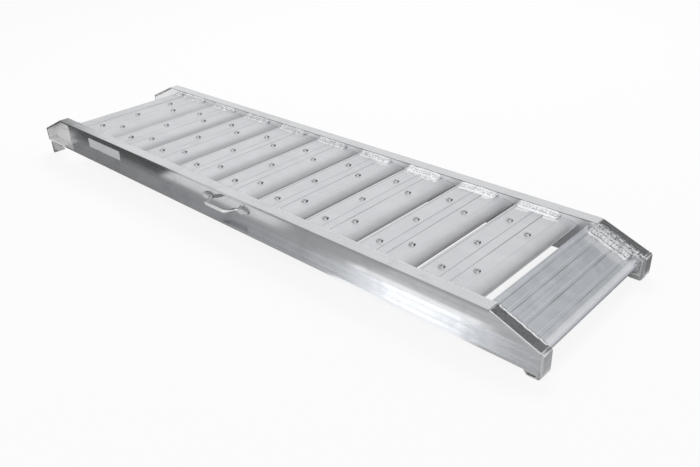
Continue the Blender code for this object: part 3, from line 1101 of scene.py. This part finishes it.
@dataclass
class Pips:
    """The raised holes of one tread, as turned collars."""

    base_radius: float = 0.0069
    top_radius: float = 0.0050
    hole_radius: float = 0.0040
    hole_foot: float = 0.0031
    drill_margin: float = 0.0008
    height: float = 0.0030
    skin: float = 0.004
    spacing: float = 0.0514
    centre_across: float = -0.014
    rows: tuple[tuple[float, tuple[float, ...]], ...] = ((0.026, (-2.0, 0.0, 2.0)), (0.078, (-1.5, 1.5)))
    sides: int = 40
    profile_steps: int = 5
    # Where round each collar the two streaks of painted shade lie, in degrees, and how strong the near one
    # is.
    toe_streak: tuple[float, ...] = (-30, -14, 46, 66)
    near_streak: tuple[float, ...] = (-138, -112, -64, -50)
    near_share: float = 0.55

    def centres(self, start: float) -> list[Vector]:
        """Finds the middles of a tread's pips.

        Args:
            start: the X of the tread's head edge.

        Returns:
            The middles, at the deck's height.
        """
        middle = RAMP.centreline + self.centre_across
        return [
            Vector((start + along, middle + count * self.spacing, RAMP.deck_height))
            for along, counts in self.rows
            for count in counts
        ]

    def profile(self) -> list[Point]:
        """Draws a collar's section, from the hole over the lip to the flank.

        Returns:
            Its points, as radius and height above the deck.
        """
        points = [(self.hole_foot, -self.skin), (self.hole_radius, self.height * 0.55)]
        lip = (self.top_radius - self.hole_radius) / 2
        for step in range(self.profile_steps + 1):
            turn = math.pi - math.pi * step / self.profile_steps
            radius = self.hole_radius + lip + lip * math.cos(turn)
            points.append((radius, self.height - lip + lip * math.sin(turn)))
        for step in range(1, self.profile_steps + 1):
            share = step / self.profile_steps
            radius = self.top_radius + (self.base_radius - self.top_radius) * share**1.3
            points.append((radius, (self.height - lip) * (1 - share) ** 1.2))
        return [*points, (self.base_radius + 0.0004, -0.0003), (self.hole_radius + 0.0012, -self.skin)]

    def flank_shade(self, place: Vector, strength: float) -> float:
        """Says how much painted shade lies on a point of a collar: low on the flank, in two streaks.

        Args:
            place: the point, from the hole's middle.
            strength: how dark the pip's painted shade is.

        Returns:
            The painted shade, from 0 to 1.
        """
        angle = math.degrees(math.atan2(place.y, place.x))
        streaks = [
            smooth_step(angle, start, full) * (1 - smooth_step(angle, fading, end))
            for start, full, fading, end in (self.toe_streak, self.near_streak)
        ]
        low = smooth_step(place.xy.length, self.top_radius - 0.0003, self.top_radius + 0.0003)
        return low * strength * max(streaks[0], self.near_share * streaks[1])

    def collar(self, shape: Shape, centre: Vector, chance: random.Random) -> None:
        """Turns one collar, with a rim that is a little uneven, as punched metal tears.

        Args:
            shape: the shape that it joins.
            centre: the hole's middle, at the deck's height.
            chance: the source of its unevenness.
        """
        before = set(shape.verts)
        points = [shape.verts.new((radius, 0.0, up)) for radius, up in self.profile()]
        ring = [shape.edges.new(pair) for pair in zip(points, points[1:] + points[:1])]
        bmesh.ops.spin(
            shape,
            geom=[*points, *ring],
            cent=(0.0, 0.0, 0.0),
            axis=(0.0, 0.0, 1.0),
            angle=math.tau,
            steps=self.sides,
            use_merge=True,
        )
        turned = [vertex for vertex in shape.verts if vertex not in before]
        phase = chance.uniform(0.0, math.tau)
        lean = chance.uniform(-0.03, 0.03)
        flank_darkness = chance.uniform(0.72, 1.0)
        soot = shape.verts.layers.float[SOOT_AND_SHADE]
        for vertex in turned:
            # The soot layer carries painted shade here: two dark streaks low on the flank.
            vertex[soot] = self.flank_shade(vertex.co, flank_darkness)
            angle = math.atan2(vertex.co.y, vertex.co.x)
            rim = max(0.0, vertex.co.z / self.height)
            ragged = 0.05 * math.sin(3 * angle + phase) + 0.035 * math.sin(7 * angle + 2 * phase)
            vertex.co.z *= 1 + rim * (ragged + lean)
        for face in {face for vertex in turned for face in vertex.link_faces}:
            if face.calc_center_median().xy.length < self.hole_radius + 0.0001:
                face.material_index = 1
        bmesh.ops.translate(shape, vec=centre, verts=turned)


@dataclass
class Treads:
    """The nine ribbed planks of the deck."""

    pips: Pips
    count: int = 9
    seed: int = 11
    drill_depth: float = 0.02

    def punched_plank(self, low: Vector, high: Vector) -> Shape:
        """A plank with the holes for its pips.

        Args:
            low: the low corner of the tread's box.
            high: its high corner.

        Returns:
            The new shape.
        """
        outline = [(low.x + along, RAMP.deck_height + up) for along, up in TREAD_PLANK.outline()]
        whole = extruded_shape(outline, low.y, high.y)
        mark_smooth(whole)
        plank = add_object("plank", whole)
        drills = bmesh.new()
        radius = self.pips.hole_radius + self.pips.drill_margin
        for centre in self.pips.centres(low.x):
            bmesh.ops.create_cone(
                drills,
                cap_ends=True,
                segments=self.pips.sides,
                radius1=radius,
                radius2=radius,
                depth=self.drill_depth,
                matrix=Matrix.Translation(centre),
            )
        drill = add_object("drills", drills)
        cut = plank.modifiers.new("holes", "BOOLEAN")
        cut.operation = "DIFFERENCE"
        cut.solver = "EXACT"
        cut.object = drill
        depsgraph = bpy.context.evaluated_depsgraph_get()
        shape = bmesh.new()
        shape.from_mesh(bpy.data.meshes.new_from_object(plank.evaluated_get(depsgraph)))
        for thing in (plank, drill):
            bpy.data.objects.remove(thing, do_unlink=True)
        return shape

    def build(self) -> None:
        """Makes and dresses every tread."""
        first_low, first_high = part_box("tread_1")
        first = self.punched_plank(first_low, first_high)
        chance = random.Random(self.seed)
        for number in range(1, self.count + 1):
            node = f"tread_{number}"
            low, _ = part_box(node)
            shape = first.copy()
            bmesh.ops.translate(shape, vec=(low.x - first_low.x, 0.0, 0.0), verts=shape.verts)
            collars = bmesh.new()
            for thing in (shape, collars):
                thing.verts.layers.float.new(SOOT_AND_SHADE)
            for centre in self.pips.centres(low.x):
                self.pips.collar(collars, centre, chance)
            turn_out(collars)
            spare = bpy.data.meshes.new("collars")
            collars.to_mesh(spare)
            collars.free()
            shape.from_mesh(spare)
            bpy.data.meshes.remove(spare)
            add_piece(f"{node}_plank", "tread", shape, TREAD_METAL, PUNCHED, node=node)
        first.free()


@dataclass
class ToeTread:
    """The plank without pips that follows the rails' slope at the toe."""

    section: PlankSection = TOE_PLANK

    def build(self) -> None:
        """Makes and dresses the toe tread."""
        low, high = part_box("toe_tread")
        shape = extruded_shape(self.section.outline(), low.y, high.y)
        mark_smooth(shape)
        lean = Matrix.Rotation(self.section.slope, 4, "Y")
        bmesh.ops.transform(shape, matrix=lean, verts=shape.verts)
        lowest = min(vertex.co.x for vertex in shape.verts)
        highest = max(vertex.co.z for vertex in shape.verts)
        bmesh.ops.translate(shape, vec=(low.x - lowest, 0.0, high.z - highest), verts=shape.verts)
        add_piece("toe_tread_plank", "toe_tread", shape, TOE_METAL, node="toe_tread")


@dataclass
class HeadStrip:
    """The narrow angle with a rounded edge in front of the first tread."""

    section: PlankSection = HEAD_PLANK
    edge_radius: float = 0.0005
    bend: float = 0.012

    def build(self) -> None:
        """Makes and dresses the head strip."""
        low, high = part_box("head_strip")
        section, skin = self.section, self.section.skin
        bend = (low.x + self.bend, high.z - self.bend)
        grooves = [
            (low.x + along, high.z + up)
            for middle in section.ribs
            for along, up in groove_outline(middle, section.groove_width, section.groove_depth)
        ]
        outline = [
            (low.x, low.z),
            *arc(bend, self.bend, 180, 90),
            *grooves,
            (high.x, high.z),
            (high.x, high.z - skin),
            *arc(bend, self.bend - skin, 90, 180),
            (low.x + skin, low.z),
        ]
        shape = extruded_shape(outline, low.y, high.y)
        soften(shape, self.edge_radius, 0)
        add_piece("head_strip_angle", "tread", shape, HEAD_STRIP_METAL, EDGE_METAL, node="head_strip")


@dataclass
class LongWeld:
    """A weld along an edge: a ball whose poles are drawn out to the weld's two ends."""

    tip: float = field(default=0.006, kw_only=True)

    def surface(self, along: float, turn: float, fade: float) -> tuple[Vector, float]:
        """A point of the surface and the soot there, which each kind of weld works out for itself."""
        raise NotImplementedError

    def drawn_out(self, around: int, rings: int, length: float, slope: float, corner: Vector) -> Shape:
        """Lays the weld along its edge.

        Args:
            around: how many facets go round it.
            rings: how many rings lie along it.
            length: its length.
            slope: how far it leans down towards the toe.
            corner: where it starts.

        Returns:
            The new shape.
        """
        shape = bmesh.new()
        bmesh.ops.create_uvsphere(shape, u_segments=around, v_segments=rings, radius=1.0)
        soot = shape.verts.layers.float.new(SOOT_AND_SHADE)
        for vertex in shape.verts:
            along = math.acos(max(-1.0, min(1.0, vertex.co.z))) / math.pi * length
            turn = math.atan2(vertex.co.y, vertex.co.x) % math.tau
            to_end = min(1.0, along / self.tip, (length - along) / self.tip)
            fade = math.sqrt(max(0.0, 1 - (1 - to_end) ** 2))
            vertex.co, vertex[soot] = self.surface(along, turn, fade)
        bmesh.ops.transform(shape, matrix=Matrix.Rotation(slope, 4, "Y"), verts=shape.verts)
        bmesh.ops.translate(shape, vec=corner, verts=shape.verts)
        turn_out(shape)
        return shape


@dataclass
class WeldBead(LongWeld):
    """A bead between a tread's end and a rail's web: a flat fillet with a chain of rings on it."""

    node: str
    side: Side
    on_tread: float = 0.015
    on_web: float = 0.0088
    slope: float = 0.0
    bulge: float = 0.0003
    pitch: float = 0.0046
    ripple: float = 0.0007
    chain: float = 0.17
    around: int = 72
    samples: int = 9
    finish: WeldMetal = WELD
    seed: float = 0.0

    def build(self) -> None:
        """Makes and dresses the bead."""
        low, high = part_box(self.node)
        self.seed = low.x
        length = (high.x - low.x - self.on_web * math.sin(self.slope)) / math.cos(self.slope)
        foot = high.z - self.on_web * math.cos(self.slope) if self.slope else low.z
        gap = RAMP.fit_gap * 0.5
        corner = Vector((low.x, RAMP.across(self.side, RAMP.web_inner - gap), foot - gap))
        rings = round(length / self.pitch * self.samples)
        shape = self.drawn_out(self.around, rings, length, self.slope, corner)
        add_piece(f"{self.node}_bead", "weld", shape, self.finish, node=self.node)

    def surface(self, along: float, turn: float, fade: float) -> tuple[Vector, float]:
        """Places a point of the bead.

        Args:
            along: its distance along the bead.
            turn: its angle round the bead.
            fade: how full the bead is there, from 0 at its ends to 1.

        Returns:
            The point, from the corner between the tread and the web, and the soot there.
        """
        wander = 1 + 0.10 * noise.noise(Vector((along * 90, self.seed * 37, 0.5)))
        on_tread = self.on_tread * fade * wander
        on_web = self.on_web * fade * (2 - wander)
        if turn > 1.5 * math.pi:
            across = on_tread * (turn - 1.5 * math.pi) / (math.pi / 2)
            return Vector((along, -self.side.value * across, 0.0)), 0.0
        if turn > math.pi:
            return Vector((along, 0.0, on_web * (1 - (turn - math.pi) / (math.pi / 2)))), 0.0
        share = turn / math.pi
        middle = 0.5 + 0.10 * noise.noise(Vector((along * 45, 3.0, self.seed * 23)))
        lateral = (share - middle) / self.chain
        stray = 0.5 * noise.noise(Vector((along * 70, 2.0, self.seed * 11)))
        crest = abs(math.sin(math.pi * (along / self.pitch - 0.55 * lateral**2 + stray)))
        off = abs(lateral)
        rope = 1 - smooth_step(off, 0.75, 1.15)
        ripple = self.ripple * rope * (0.35 + 0.65 * crest**0.5)
        swell = (self.bulge * math.sin(math.pi * share) + ripple) * fade
        crevice = 1 - min(smooth_step(crest, 0.15, 0.50), smooth_step(abs(off - 0.95), 0.05, 0.35))
        patchy = smooth_step(noise.noise(Vector((along * 240, share * 9, self.seed * 31))), -0.35, 0.15)
        across = on_tread * (1 - share) + swell * self.on_web / (self.on_tread + self.on_web)
        up = on_web * share + swell * self.on_tread / (self.on_tread + self.on_web)
        soot = 0.9 * crevice * patchy * (1 - smooth_step(off, 1.0, 1.25)) * fade
        return Vector((along, -self.side.value * across, up)), soot


def lumpy_ball(centre: Vector, radii: Vector, rough: float = 1.0, square: float = 1.0) -> Shape:
    """A lump of weld: a ball stretched along the ramp, with uneven rings.

    Args:
        centre: its middle.
        radii: how far it reaches along X, Y and Z.
        rough: how uneven it is.
        square: less than 1 for a ball that fills more of its box's corners.

    Returns:
        The new shape.
    """
    shape = bmesh.new()
    bmesh.ops.create_uvsphere(shape, u_segments=64, v_segments=40, radius=1.0)
    bmesh.ops.transform(shape, matrix=Matrix.Rotation(math.pi / 2, 4, "Y"), verts=shape.verts)
    soot = shape.verts.layers.float.new(SOOT_AND_SHADE)
    for vertex in shape.verts:
        push = noise.noise(vertex.co * 1.7 + Vector((centre.x * 40, 0.0, 0.0)))
        grain = noise.noise(vertex.co * 5.0 + Vector((0.0, centre.x * 60, 0.0)))
        fine = noise.noise(vertex.co * 9.0 + Vector((0.0, 0.0, centre.x * 50)))
        rings = abs(math.sin(vertex.co.x * 9 + 1.5 * vertex.co.z**2))
        vertex[soot] = 0.85 * max(smooth_step(fine, 0.16, 0.40), 0.4 * (1 - smooth_step(rings, 0.05, 0.25)))
        grow = 0.86 + rough * (0.05 * push + 0.03 * grain + 0.02 * rings - 0.05 * max(0.0, fine))
        reach = [math.copysign(abs(part) ** square, part) * radius for part, radius in zip(vertex.co, radii)]
        vertex.co = Vector(reach) * grow
    bmesh.ops.translate(shape, vec=centre, verts=shape.verts)
    turn_out(shape)
    return shape


@dataclass
class SlopeWeld(LongWeld):
    """The weld that joins a toe's sloped strip to the web's inner face, with the lumps at its ends.

    It lies on the strip's inner edge like a bent band: part of it on the strip, part of it down the web.
    """

    side: Side
    over: float
    down: float
    thick: float
    finish: WeldMetal
    lump: Vector
    end_lump: Vector | None = None
    sooty: float = 0.75
    start: float = 0.0035
    tail: float = 0.004
    bite: float = 0.0004
    coin: float = 0.0042
    lump_back: float = 0.55
    end_back: float = 0.0178
    end_drop: float = 0.0125
    around: int = 56
    rings: int = 230

    def build(self) -> None:
        """Makes and dresses the weld."""
        low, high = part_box(f"{self.side.label}_toe_slope_strip")
        length = (high.x - low.x) / math.cos(RAMP.toe_slope) - self.start - self.tail
        kink = Vector((RAMP.toe_kink, RAMP.across(self.side, RAMP.web_inner), RAMP.rail_top))
        middle = kink + Vector((-self.lump.x * self.lump_back, 0.0, -self.lump.z - self.bite))
        shapes = {
            "slope": self.drawn_out(self.around, self.rings, length, RAMP.toe_slope, kink),
            "kink": lumpy_ball(middle, self.lump),
        }
        if self.end_lump:
            middle = Vector((high.x - self.end_back, kink.y, low.z - self.end_drop))
            shapes["toe_end"] = lumpy_ball(middle, self.end_lump, rough=1.4, square=0.6)
        for name, shape in shapes.items():
            add_piece(f"{self.side.label}_{name}_weld", "weld", shape, self.finish)

    def surface(self, along: float, turn: float, fade: float) -> tuple[Vector, float]:
        """Places a point of the band.

        Args:
            along: its distance along the band.
            turn: its angle round the band.
            fade: how full the band is there, from 0 at its ends to 1.

        Returns:
            The point, as distances down the slope, across and up from the kink, and the soot there.
        """
        wave = noise.noise(Vector((along * 95, 5.0, self.over * 900)))
        over = self.over * (1 + 0.38 * wave) * (0.4 + 0.6 * fade)
        down = self.down * (1 - 0.15 * wave) * (0.4 + 0.6 * fade)
        share = min(turn, math.tau - turn) / math.pi
        run = share * (over + down) - over
        bend = smooth_step(run, -0.0015, 0.0015) * math.pi / 2
        soot, depth = 0.0, -self.bite
        if turn <= math.pi:
            grain = noise.noise(Vector((along * 260, run * 260, 1.0)))
            coins = abs(math.sin(math.pi * (along / self.coin + 60 * run)))
            rim = smooth_step(min(share, 1 - share), 0.0, 0.12)
            depth += (self.thick * (0.55 + 0.25 * grain + 0.20 * coins) + self.bite) * rim * fade
            soot = self.sooty * smooth_step(-grain, 0.05, 0.35) * rim
        inward = min(run, 0.0) + depth * math.sin(bend)
        up = -max(run, 0.0) + depth * math.cos(bend)
        return Vector((self.start + along, -self.side.value * inward, up)), soot


@dataclass
class CarryingHandle:
    """The bent rod on the near rail, and the lumps of weld that hold its feet."""

    along: float = 0.004
    above_base: float = 0.038
    rod_radius: float = 0.004
    grip: float = 0.065
    leg_spread: float = 0.009
    foot: float = 0.026
    foot_across: float = 0.1668
    grip_across: float = 0.190
    bend_radius: float = 0.009
    sides: int = 32
    bend_steps: int = 12

    def build(self) -> None:
        """Makes and dresses the handle."""
        add_piece("carrying_handle_rod", "handle", self.rod_shape(), ROD_METAL, node="carrying_handle")
        for end in End:
            node = f"handle_weld_{end.label}_side"
            add_piece(f"{node}_lump", "weld", self.lump_shape(node), HANDLE_WELD, node=node)

    def rod_shape(self) -> Shape:
        """Makes the rod: a circle pushed along its straights and spun round its bends.

        Returns:
            The new shape.
        """
        shape = bmesh.new()
        reach = self.grip_across - self.foot_across
        lean = math.atan2(reach, self.leg_spread)
        cut = self.bend_radius * math.tan(lean / 2)
        leg = math.hypot(reach, self.leg_spread) - 2 * cut
        place = Vector((-self.grip / 2 - self.leg_spread - self.foot, -self.foot_across, 0.0))
        facing = Matrix.Translation(place) @ Matrix.Rotation(math.pi / 2, 4, "Y")
        ring = bmesh.ops.create_circle(shape, segments=self.sides, radius=self.rod_radius, matrix=facing)
        edges = list({edge for vertex in ring["verts"] for edge in vertex.link_edges})
        bmesh.ops.contextual_create(shape, geom=edges)
        heading = 0.0
        walk = (
            (self.foot - cut, -lean),
            (leg, lean),
            (self.grip - 2 * cut, lean),
            (leg, -lean),
            (self.foot - cut, 0.0),
        )
        for forward, turn in walk:
            step = Vector((math.cos(heading), math.sin(heading), 0.0)) * forward
            grown = bmesh.ops.extrude_edge_only(shape, edges=edges)["geom"]
            bmesh.ops.translate(shape, vec=step, verts=parts_of(grown, bmesh.types.BMVert))
            edges = parts_of(grown, bmesh.types.BMEdge)
            place = place + step
            if turn:
                way = math.copysign(1.0, turn)
                pivot = place + Vector((-math.sin(heading), math.cos(heading), 0.0)) * way * self.bend_radius
                spun = bmesh.ops.spin(
                    shape,
                    geom=[*{vertex for edge in edges for vertex in edge.verts}, *edges],
                    cent=pivot,
                    axis=(0.0, 0.0, way),
                    angle=abs(turn),
                    steps=self.bend_steps,
                )["geom_last"]
                edges = parts_of(spun, bmesh.types.BMEdge)
                place = pivot + Matrix.Rotation(turn, 3, "Z") @ (place - pivot)
                heading += turn
        bmesh.ops.contextual_create(shape, geom=edges)
        bmesh.ops.remove_doubles(shape, verts=shape.verts, dist=0.000001)
        bmesh.ops.recalc_face_normals(shape, faces=shape.faces)
        for face in shape.faces:
            face.smooth = len(face.verts) == 4
        centre = (self.along, RAMP.centreline, RAMP.rail_base + self.above_base)
        bmesh.ops.translate(shape, vec=centre, verts=shape.verts)
        return shape

    def lump_shape(self, node: str) -> Shape:
        """Makes the weld over one foot, uneven and flat on the web.

        Args:
            node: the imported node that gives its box.

        Returns:
            The new shape.
        """
        low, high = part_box(node)
        size = high - low
        middle = Vector(((low.x + high.x) / 2, high.y, (low.z + high.z) / 2))
        shape = lumpy_ball(middle, Vector((size.x / 2, size.y, size.z / 2)))
        for vertex in shape.verts:
            vertex.co.y = min(vertex.co.y, high.y)
        bmesh.ops.remove_doubles(shape, verts=shape.verts, dist=WELDED)
        bmesh.ops.recalc_face_normals(shape, faces=shape.faces)
        return shape


@dataclass
class LabelPlate:
    """The bare plate on the near rail where a label could go."""

    edge_radius: float = 0.0003

    def build(self) -> None:
        """Makes and dresses the plate."""
        shape = copied_shape("label_plate")
        soften(shape, self.edge_radius)
        add_piece("label_plate_blank", "label", shape, LABEL_COAT, EDGE_METAL, node="label_plate")


# The picture


@dataclass
class WallCard:
    """A tall curved card far outside the picture, which only the metal mirrors.

    Its angles are in degrees: round the ramp from +Y towards +X, and up from the floor.
    """

    name: str
    levels: tuple[Point, ...]
    low: float
    high: float
    distance: float = 6.0
    soft: float = 10.0
    steps: int = 24

    def build(self) -> None:
        """Adds the card."""
        start, end = self.levels[0][0], self.levels[-1][0]
        shape = bmesh.new()
        rims = (self.low - self.soft / 2, self.high + self.soft / 2)
        heights = [self.distance * math.tan(math.radians(rim)) for rim in rims]
        ends = [shape.verts.new((0.0, self.distance, height)) for height in heights]
        side = shape.edges.new(ends)
        turn = Matrix.Rotation(-math.radians(start), 3, "Z")
        bmesh.ops.rotate(shape, cent=(0.0, 0.0, 0.0), matrix=turn, verts=ends)
        bmesh.ops.spin(
            shape,
            geom=[*ends, side],
            cent=(0.0, 0.0, 0.0),
            axis=(0.0, 0.0, -1.0),
            angle=math.radians(end - start),
            steps=self.steps,
        )
        board = NodeBoard.named(self.name)
        angle = board.calc("ARCTAN2", board.axis("X"), board.axis("Y"))
        if end > 180:
            angle = board.plus(angle, math.tau)
        level = board.stops(board.calc("DEGREES", angle), self.levels)
        rise = board.calc("DEGREES", board.calc("ARCTAN2", board.axis("Z"), self.distance))
        mask = board.window(rise, self.low, self.high, self.soft)
        add_stage(self.name, shape, board.glow_only(board.blended(mask, 1.0, level)))


WALL_CARDS = (
    WallCard("toe_flag", ((-8, 1.0), (2, 0.16), (20, 0.16), (30, 0.42), (42, 0.60), (55, 1.0)), -3.0, 54.0),
    WallCard("head_flag", ((-86, 1.0), (-79, 0.15), (-68, 0.15), (-63.5, 1.0)), 12.5, 20.0, 40.0, 4.0),
    WallCard(
        "front_glow",
        ((202, 1.0), (205, 0.65), (209.5, 0.75), (213, 3.7), (220, 4.1), (223, 1.5), (225.5, 1.0)),
        29.5,
        40.0,
        40.0,
        5.0,
    ),
    WallCard(
        "front_shade",
        (
            (222, 1.0), (225.5, 0.85), (228, 0.70), (235, 0.64),
            (241, 0.52), (246, 0.33), (252, 0.33), (256, 1.0),
        ),
        15.0,
        34.0,
        44.0,
        6.0,
    ),
)


@dataclass(frozen=True)
class SoftLamp:
    """A rectangular lamp that is aimed at the ramp, and that the metal doesn't mirror."""

    name: str
    place: Place
    width: float
    depth: float
    power: float
    target: Place = (0.0, 0.0, 0.05)

    def build(self) -> None:
        """Adds the lamp."""
        lamp = bpy.data.lights.new(self.name, "AREA")
        lamp.shape = "RECTANGLE"
        lamp.size = self.width
        lamp.size_y = self.depth
        lamp.energy = self.power
        thing = linked(self.name, lamp)
        thing.visible_glossy = False
        thing.location = self.place
        aim = Vector(self.target) - Vector(self.place)
        thing.rotation_euler = aim.to_track_quat("-Z", "Y").to_euler()


@dataclass
class Studio:
    """The floor, the light and the camera."""

    floor_half: float = 14.0
    floor_start: float = -0.7435
    floor_end: float = 0.7425
    floor_rise: float = 0.0298
    floor_glow: float = 0.88
    mirrored_glow: float = 0.10
    paper: Colour = (0.9, 0.9, 0.9)
    card_size: Point = (2.6, 0.76)
    card_middle: Point = (-0.15, -0.545)
    card_lift: float = 0.002
    card_turn: float = -0.2194
    card_turn_soft: float = 0.003
    card_rim: float = -0.281
    card_rim_soft: float = 0.002
    card_skew: float = 0.0238
    lower_levels: tuple[Point, ...] = (
        (-1.45, 1.0), (-0.86, 1.2), (-0.79, 0.28), (-0.50, 0.30), (-0.10, 0.37), (0.20, 0.48),
        (0.28, 0.62), (0.34, 1.40), (0.585, 1.40), (0.65, 0.60), (1.15, 0.50),
    )
    upper_levels: tuple[Point, ...] = (
        (-1.45, 1.0), (-1.13, 1.1), (-1.06, 0.10), (-0.37, 0.10), (-0.345, 0.92), (0.04, 0.92),
        (0.13, 0.44), (0.34, 0.54), (0.42, 0.70), (0.65, 0.66), (1.15, 0.55),
    )
    rim_levels: tuple[Point, ...] = (
        (-1.45, 0.25), (-0.60, 0.12), (-0.40, 0.15), (-0.30, 0.70), (-0.10, 0.75),
        (0.00, 0.40), (0.30, 0.42), (0.50, 0.48), (1.15, 0.50),
    )
    toe_card_size: Point = (0.5, 1.4)
    toe_card_middle: Point = (1.005, 0.3)
    toe_card_height_at: float = 0.8
    toe_card_lift: float = 0.003
    toe_card_shade: tuple[float, ...] = (-0.14, 0.28, 0.44, 0.20)
    fill: float = 0.6
    lamps: tuple[SoftLamp, ...] = (
        SoftLamp("key_softbox", (-0.9, 1.7, 2.9), 1.5, 1.2, 45.0),
        SoftLamp("front_softbox", (-1.48, -1.96, 1.72), 0.45, 0.7, 2.1),
    )
    camera_place: Place = (1.10544, -0.91906, 0.72478)
    camera_turn: Place = (60.7538, 2.2781, 43.1261)
    lens: float = 36.48
    sensor: float = 36.0
    clip: Point = (0.01, 60.0)

    def build(self) -> None:
        """Sets up the whole picture."""
        self.add_floor()
        self.add_floor_card()
        self.add_toe_card()
        for card in WALL_CARDS:
            card.build()
        self.add_world()
        for lamp in self.lamps:
            lamp.build()
        self.add_camera()
        bpy.context.scene.view_settings.view_transform = "Standard"

    def floor_height(self, along: float) -> float:
        """The floor's height at an X."""
        return self.floor_rise * (along - self.floor_start) / (self.floor_end - self.floor_start)

    def add_floor(self) -> None:
        """A plain pale floor that carries the hooks' tips and the foot pads."""
        shape = bmesh.new()
        bmesh.ops.create_grid(shape, x_segments=1, y_segments=1, size=self.floor_half)
        fall = math.atan2(self.floor_rise, self.floor_end - self.floor_start)
        bmesh.ops.transform(shape, matrix=Matrix.Rotation(-fall, 4, "Y"), verts=shape.verts)
        bmesh.ops.translate(shape, vec=(0.0, 0.0, -self.floor_start * math.tan(fall)), verts=shape.verts)
        board = NodeBoard.named("floor_paper")
        path = board.add("LightPath").outputs
        seen = board.times(path["Is Camera Ray"], self.floor_glow)
        mirrored = board.most(path["Is Glossy Ray"], path["Is Transmission Ray"])
        share = board.most(seen, board.times(mirrored, self.mirrored_glow))
        paper = board.add("BsdfDiffuse", {"Color": (*self.paper, 1.0)}).outputs["BSDF"]
        glow = board.add("Emission", {"Color": (1.0, 1.0, 1.0, 1.0)}).outputs["Emission"]
        mix = board.add("MixShader", {0: share, 1: paper, 2: glow})
        add_stage("floor", shape, board.show(mix.outputs["Shader"]), hidden=False)

    def card_shape(self, size: Point, middle: Point, steps: int) -> Shape:
        """A flat card.

        Args:
            size: its length and width.
            middle: the X and Y of its middle.
            steps: how many faces it has along X.

        Returns:
            The new shape, at a height of zero.
        """
        shape = bmesh.new()
        bmesh.ops.create_grid(shape, x_segments=steps, y_segments=1, size=0.5)
        bmesh.ops.scale(shape, vec=(*size, 1.0), verts=shape.verts)
        bmesh.ops.translate(shape, vec=(*middle, 0.0), verts=shape.verts)
        return shape

    def add_floor_card(self) -> None:
        """A card before the near rail, which only the metal sees: dark, white and grey along the ramp."""
        shape = self.card_shape(self.card_size, self.card_middle, 8)
        for vertex in shape.verts:
            vertex.co.z = self.floor_height(vertex.co.x) + self.card_lift
        board = NodeBoard.named("floor_card")
        along = board.axis("X")
        across = board.minus(board.axis("Y"), board.times(along, self.card_skew))
        turn, rim = self.card_turn, self.card_rim
        above = board.remap(across, turn + self.card_turn_soft, turn - self.card_turn_soft)
        beyond = board.remap(across, rim + self.card_rim_soft, rim - self.card_rim_soft)
        bands = (self.lower_levels, self.upper_levels, self.rim_levels)
        lower, upper, outer = (board.stops(along, levels) for levels in bands)
        level = board.blended(beyond, board.blended(above, lower, upper), outer)
        add_stage("floor_card", shape, board.glow_only(level))

    def add_toe_card(self) -> None:
        """A grey card on the floor beyond the toe, which only the end plates mirror."""
        shape = self.card_shape(self.toe_card_size, self.toe_card_middle, 1)
        height = self.floor_height(self.toe_card_height_at) + self.toe_card_lift
        bmesh.ops.translate(shape, vec=(0.0, 0.0, height), verts=shape.verts)
        board = NodeBoard.named("toe_card")
        level = board.remap(board.axis("Y"), *self.toe_card_shade)
        add_stage("toe_card", shape, board.glow_only(level))

    def add_world(self) -> None:
        """White for the camera and for what the metal mirrors, and a plain soft fill for the rest."""
        world = bpy.data.worlds.new("studio")
        bpy.context.scene.world = world
        board = NodeBoard(world)
        background = board.tree.nodes["Background"].inputs
        path = board.add("LightPath").outputs
        seen = board.most(path["Is Camera Ray"], path["Is Glossy Ray"], path["Is Transmission Ray"])
        board.feed(background["Color"], (1.0, 1.0, 1.0, 1.0))
        board.feed(background["Strength"], board.remap(seen, 0.0, 1.0, self.fill, 1.0))

    def add_camera(self) -> None:
        """The camera, where the photograph was taken from."""
        camera = bpy.data.cameras.new("camera")
        camera.lens = self.lens
        camera.sensor_width = self.sensor
        camera.clip_start, camera.clip_end = self.clip
        thing = linked("camera", camera)
        thing.location = self.camera_place
        thing.rotation_euler = Euler([math.radians(angle) for angle in self.camera_turn], "XYZ")
        bpy.context.scene.camera = thing


def all_welds(treads: Treads) -> list[WeldBead | SlopeWeld]:
    """Every bead between the treads and the rails, and the welds on the toe's slopes.

    Args:
        treads: the deck's treads.

    Returns:
        The welds, in the order in which they are built.
    """
    welds = []
    for side in Side:
        for part in (*(f"tread_{number}" for number in range(1, treads.count + 1)), "head_strip"):
            welds.append(WeldBead(f"{side.label}_weld_{part}", side))
        toe_bead = WeldBead(
            f"{side.label}_weld_toe_tread",
            side,
            on_tread=0.019,
            on_web=0.0105,
            slope=RAMP.toe_slope,
            bulge=0.0006,
            pitch=0.0068,
            ripple=0.0010,
            chain=0.24,
            finish=TOE_WELD,
        )
        welds.append(toe_bead)
    far_lumps = (Vector((0.012, 0.0022, 0.007)), Vector((0.0175, 0.0042, 0.021)))
    near_lump = Vector((0.006, 0.0028, 0.0045))
    welds.append(SlopeWeld(Side.FAR, 0.0075, 0.0080, 0.0014, TOE_WELD, *far_lumps))
    welds.append(SlopeWeld(Side.NEAR, 0.0040, 0.0044, 0.0015, WELD, near_lump, sooty=0.12))
    return welds


def main() -> None:
    """Builds the ramp's pieces in order, then the picture."""
    logging.basicConfig(level=logging.INFO, format="%(name)s: %(message)s")
    treads = Treads(Pips())
    rails = [SideRail(side) for side in Side]
    fittings = (*all_welds(treads), CarryingHandle(), LabelPlate())
    for assembly in (*rails, treads, ToeTread(), HeadStrip(), *fittings, Studio()):
        assembly.build()


if __name__ == "__main__":
    main()
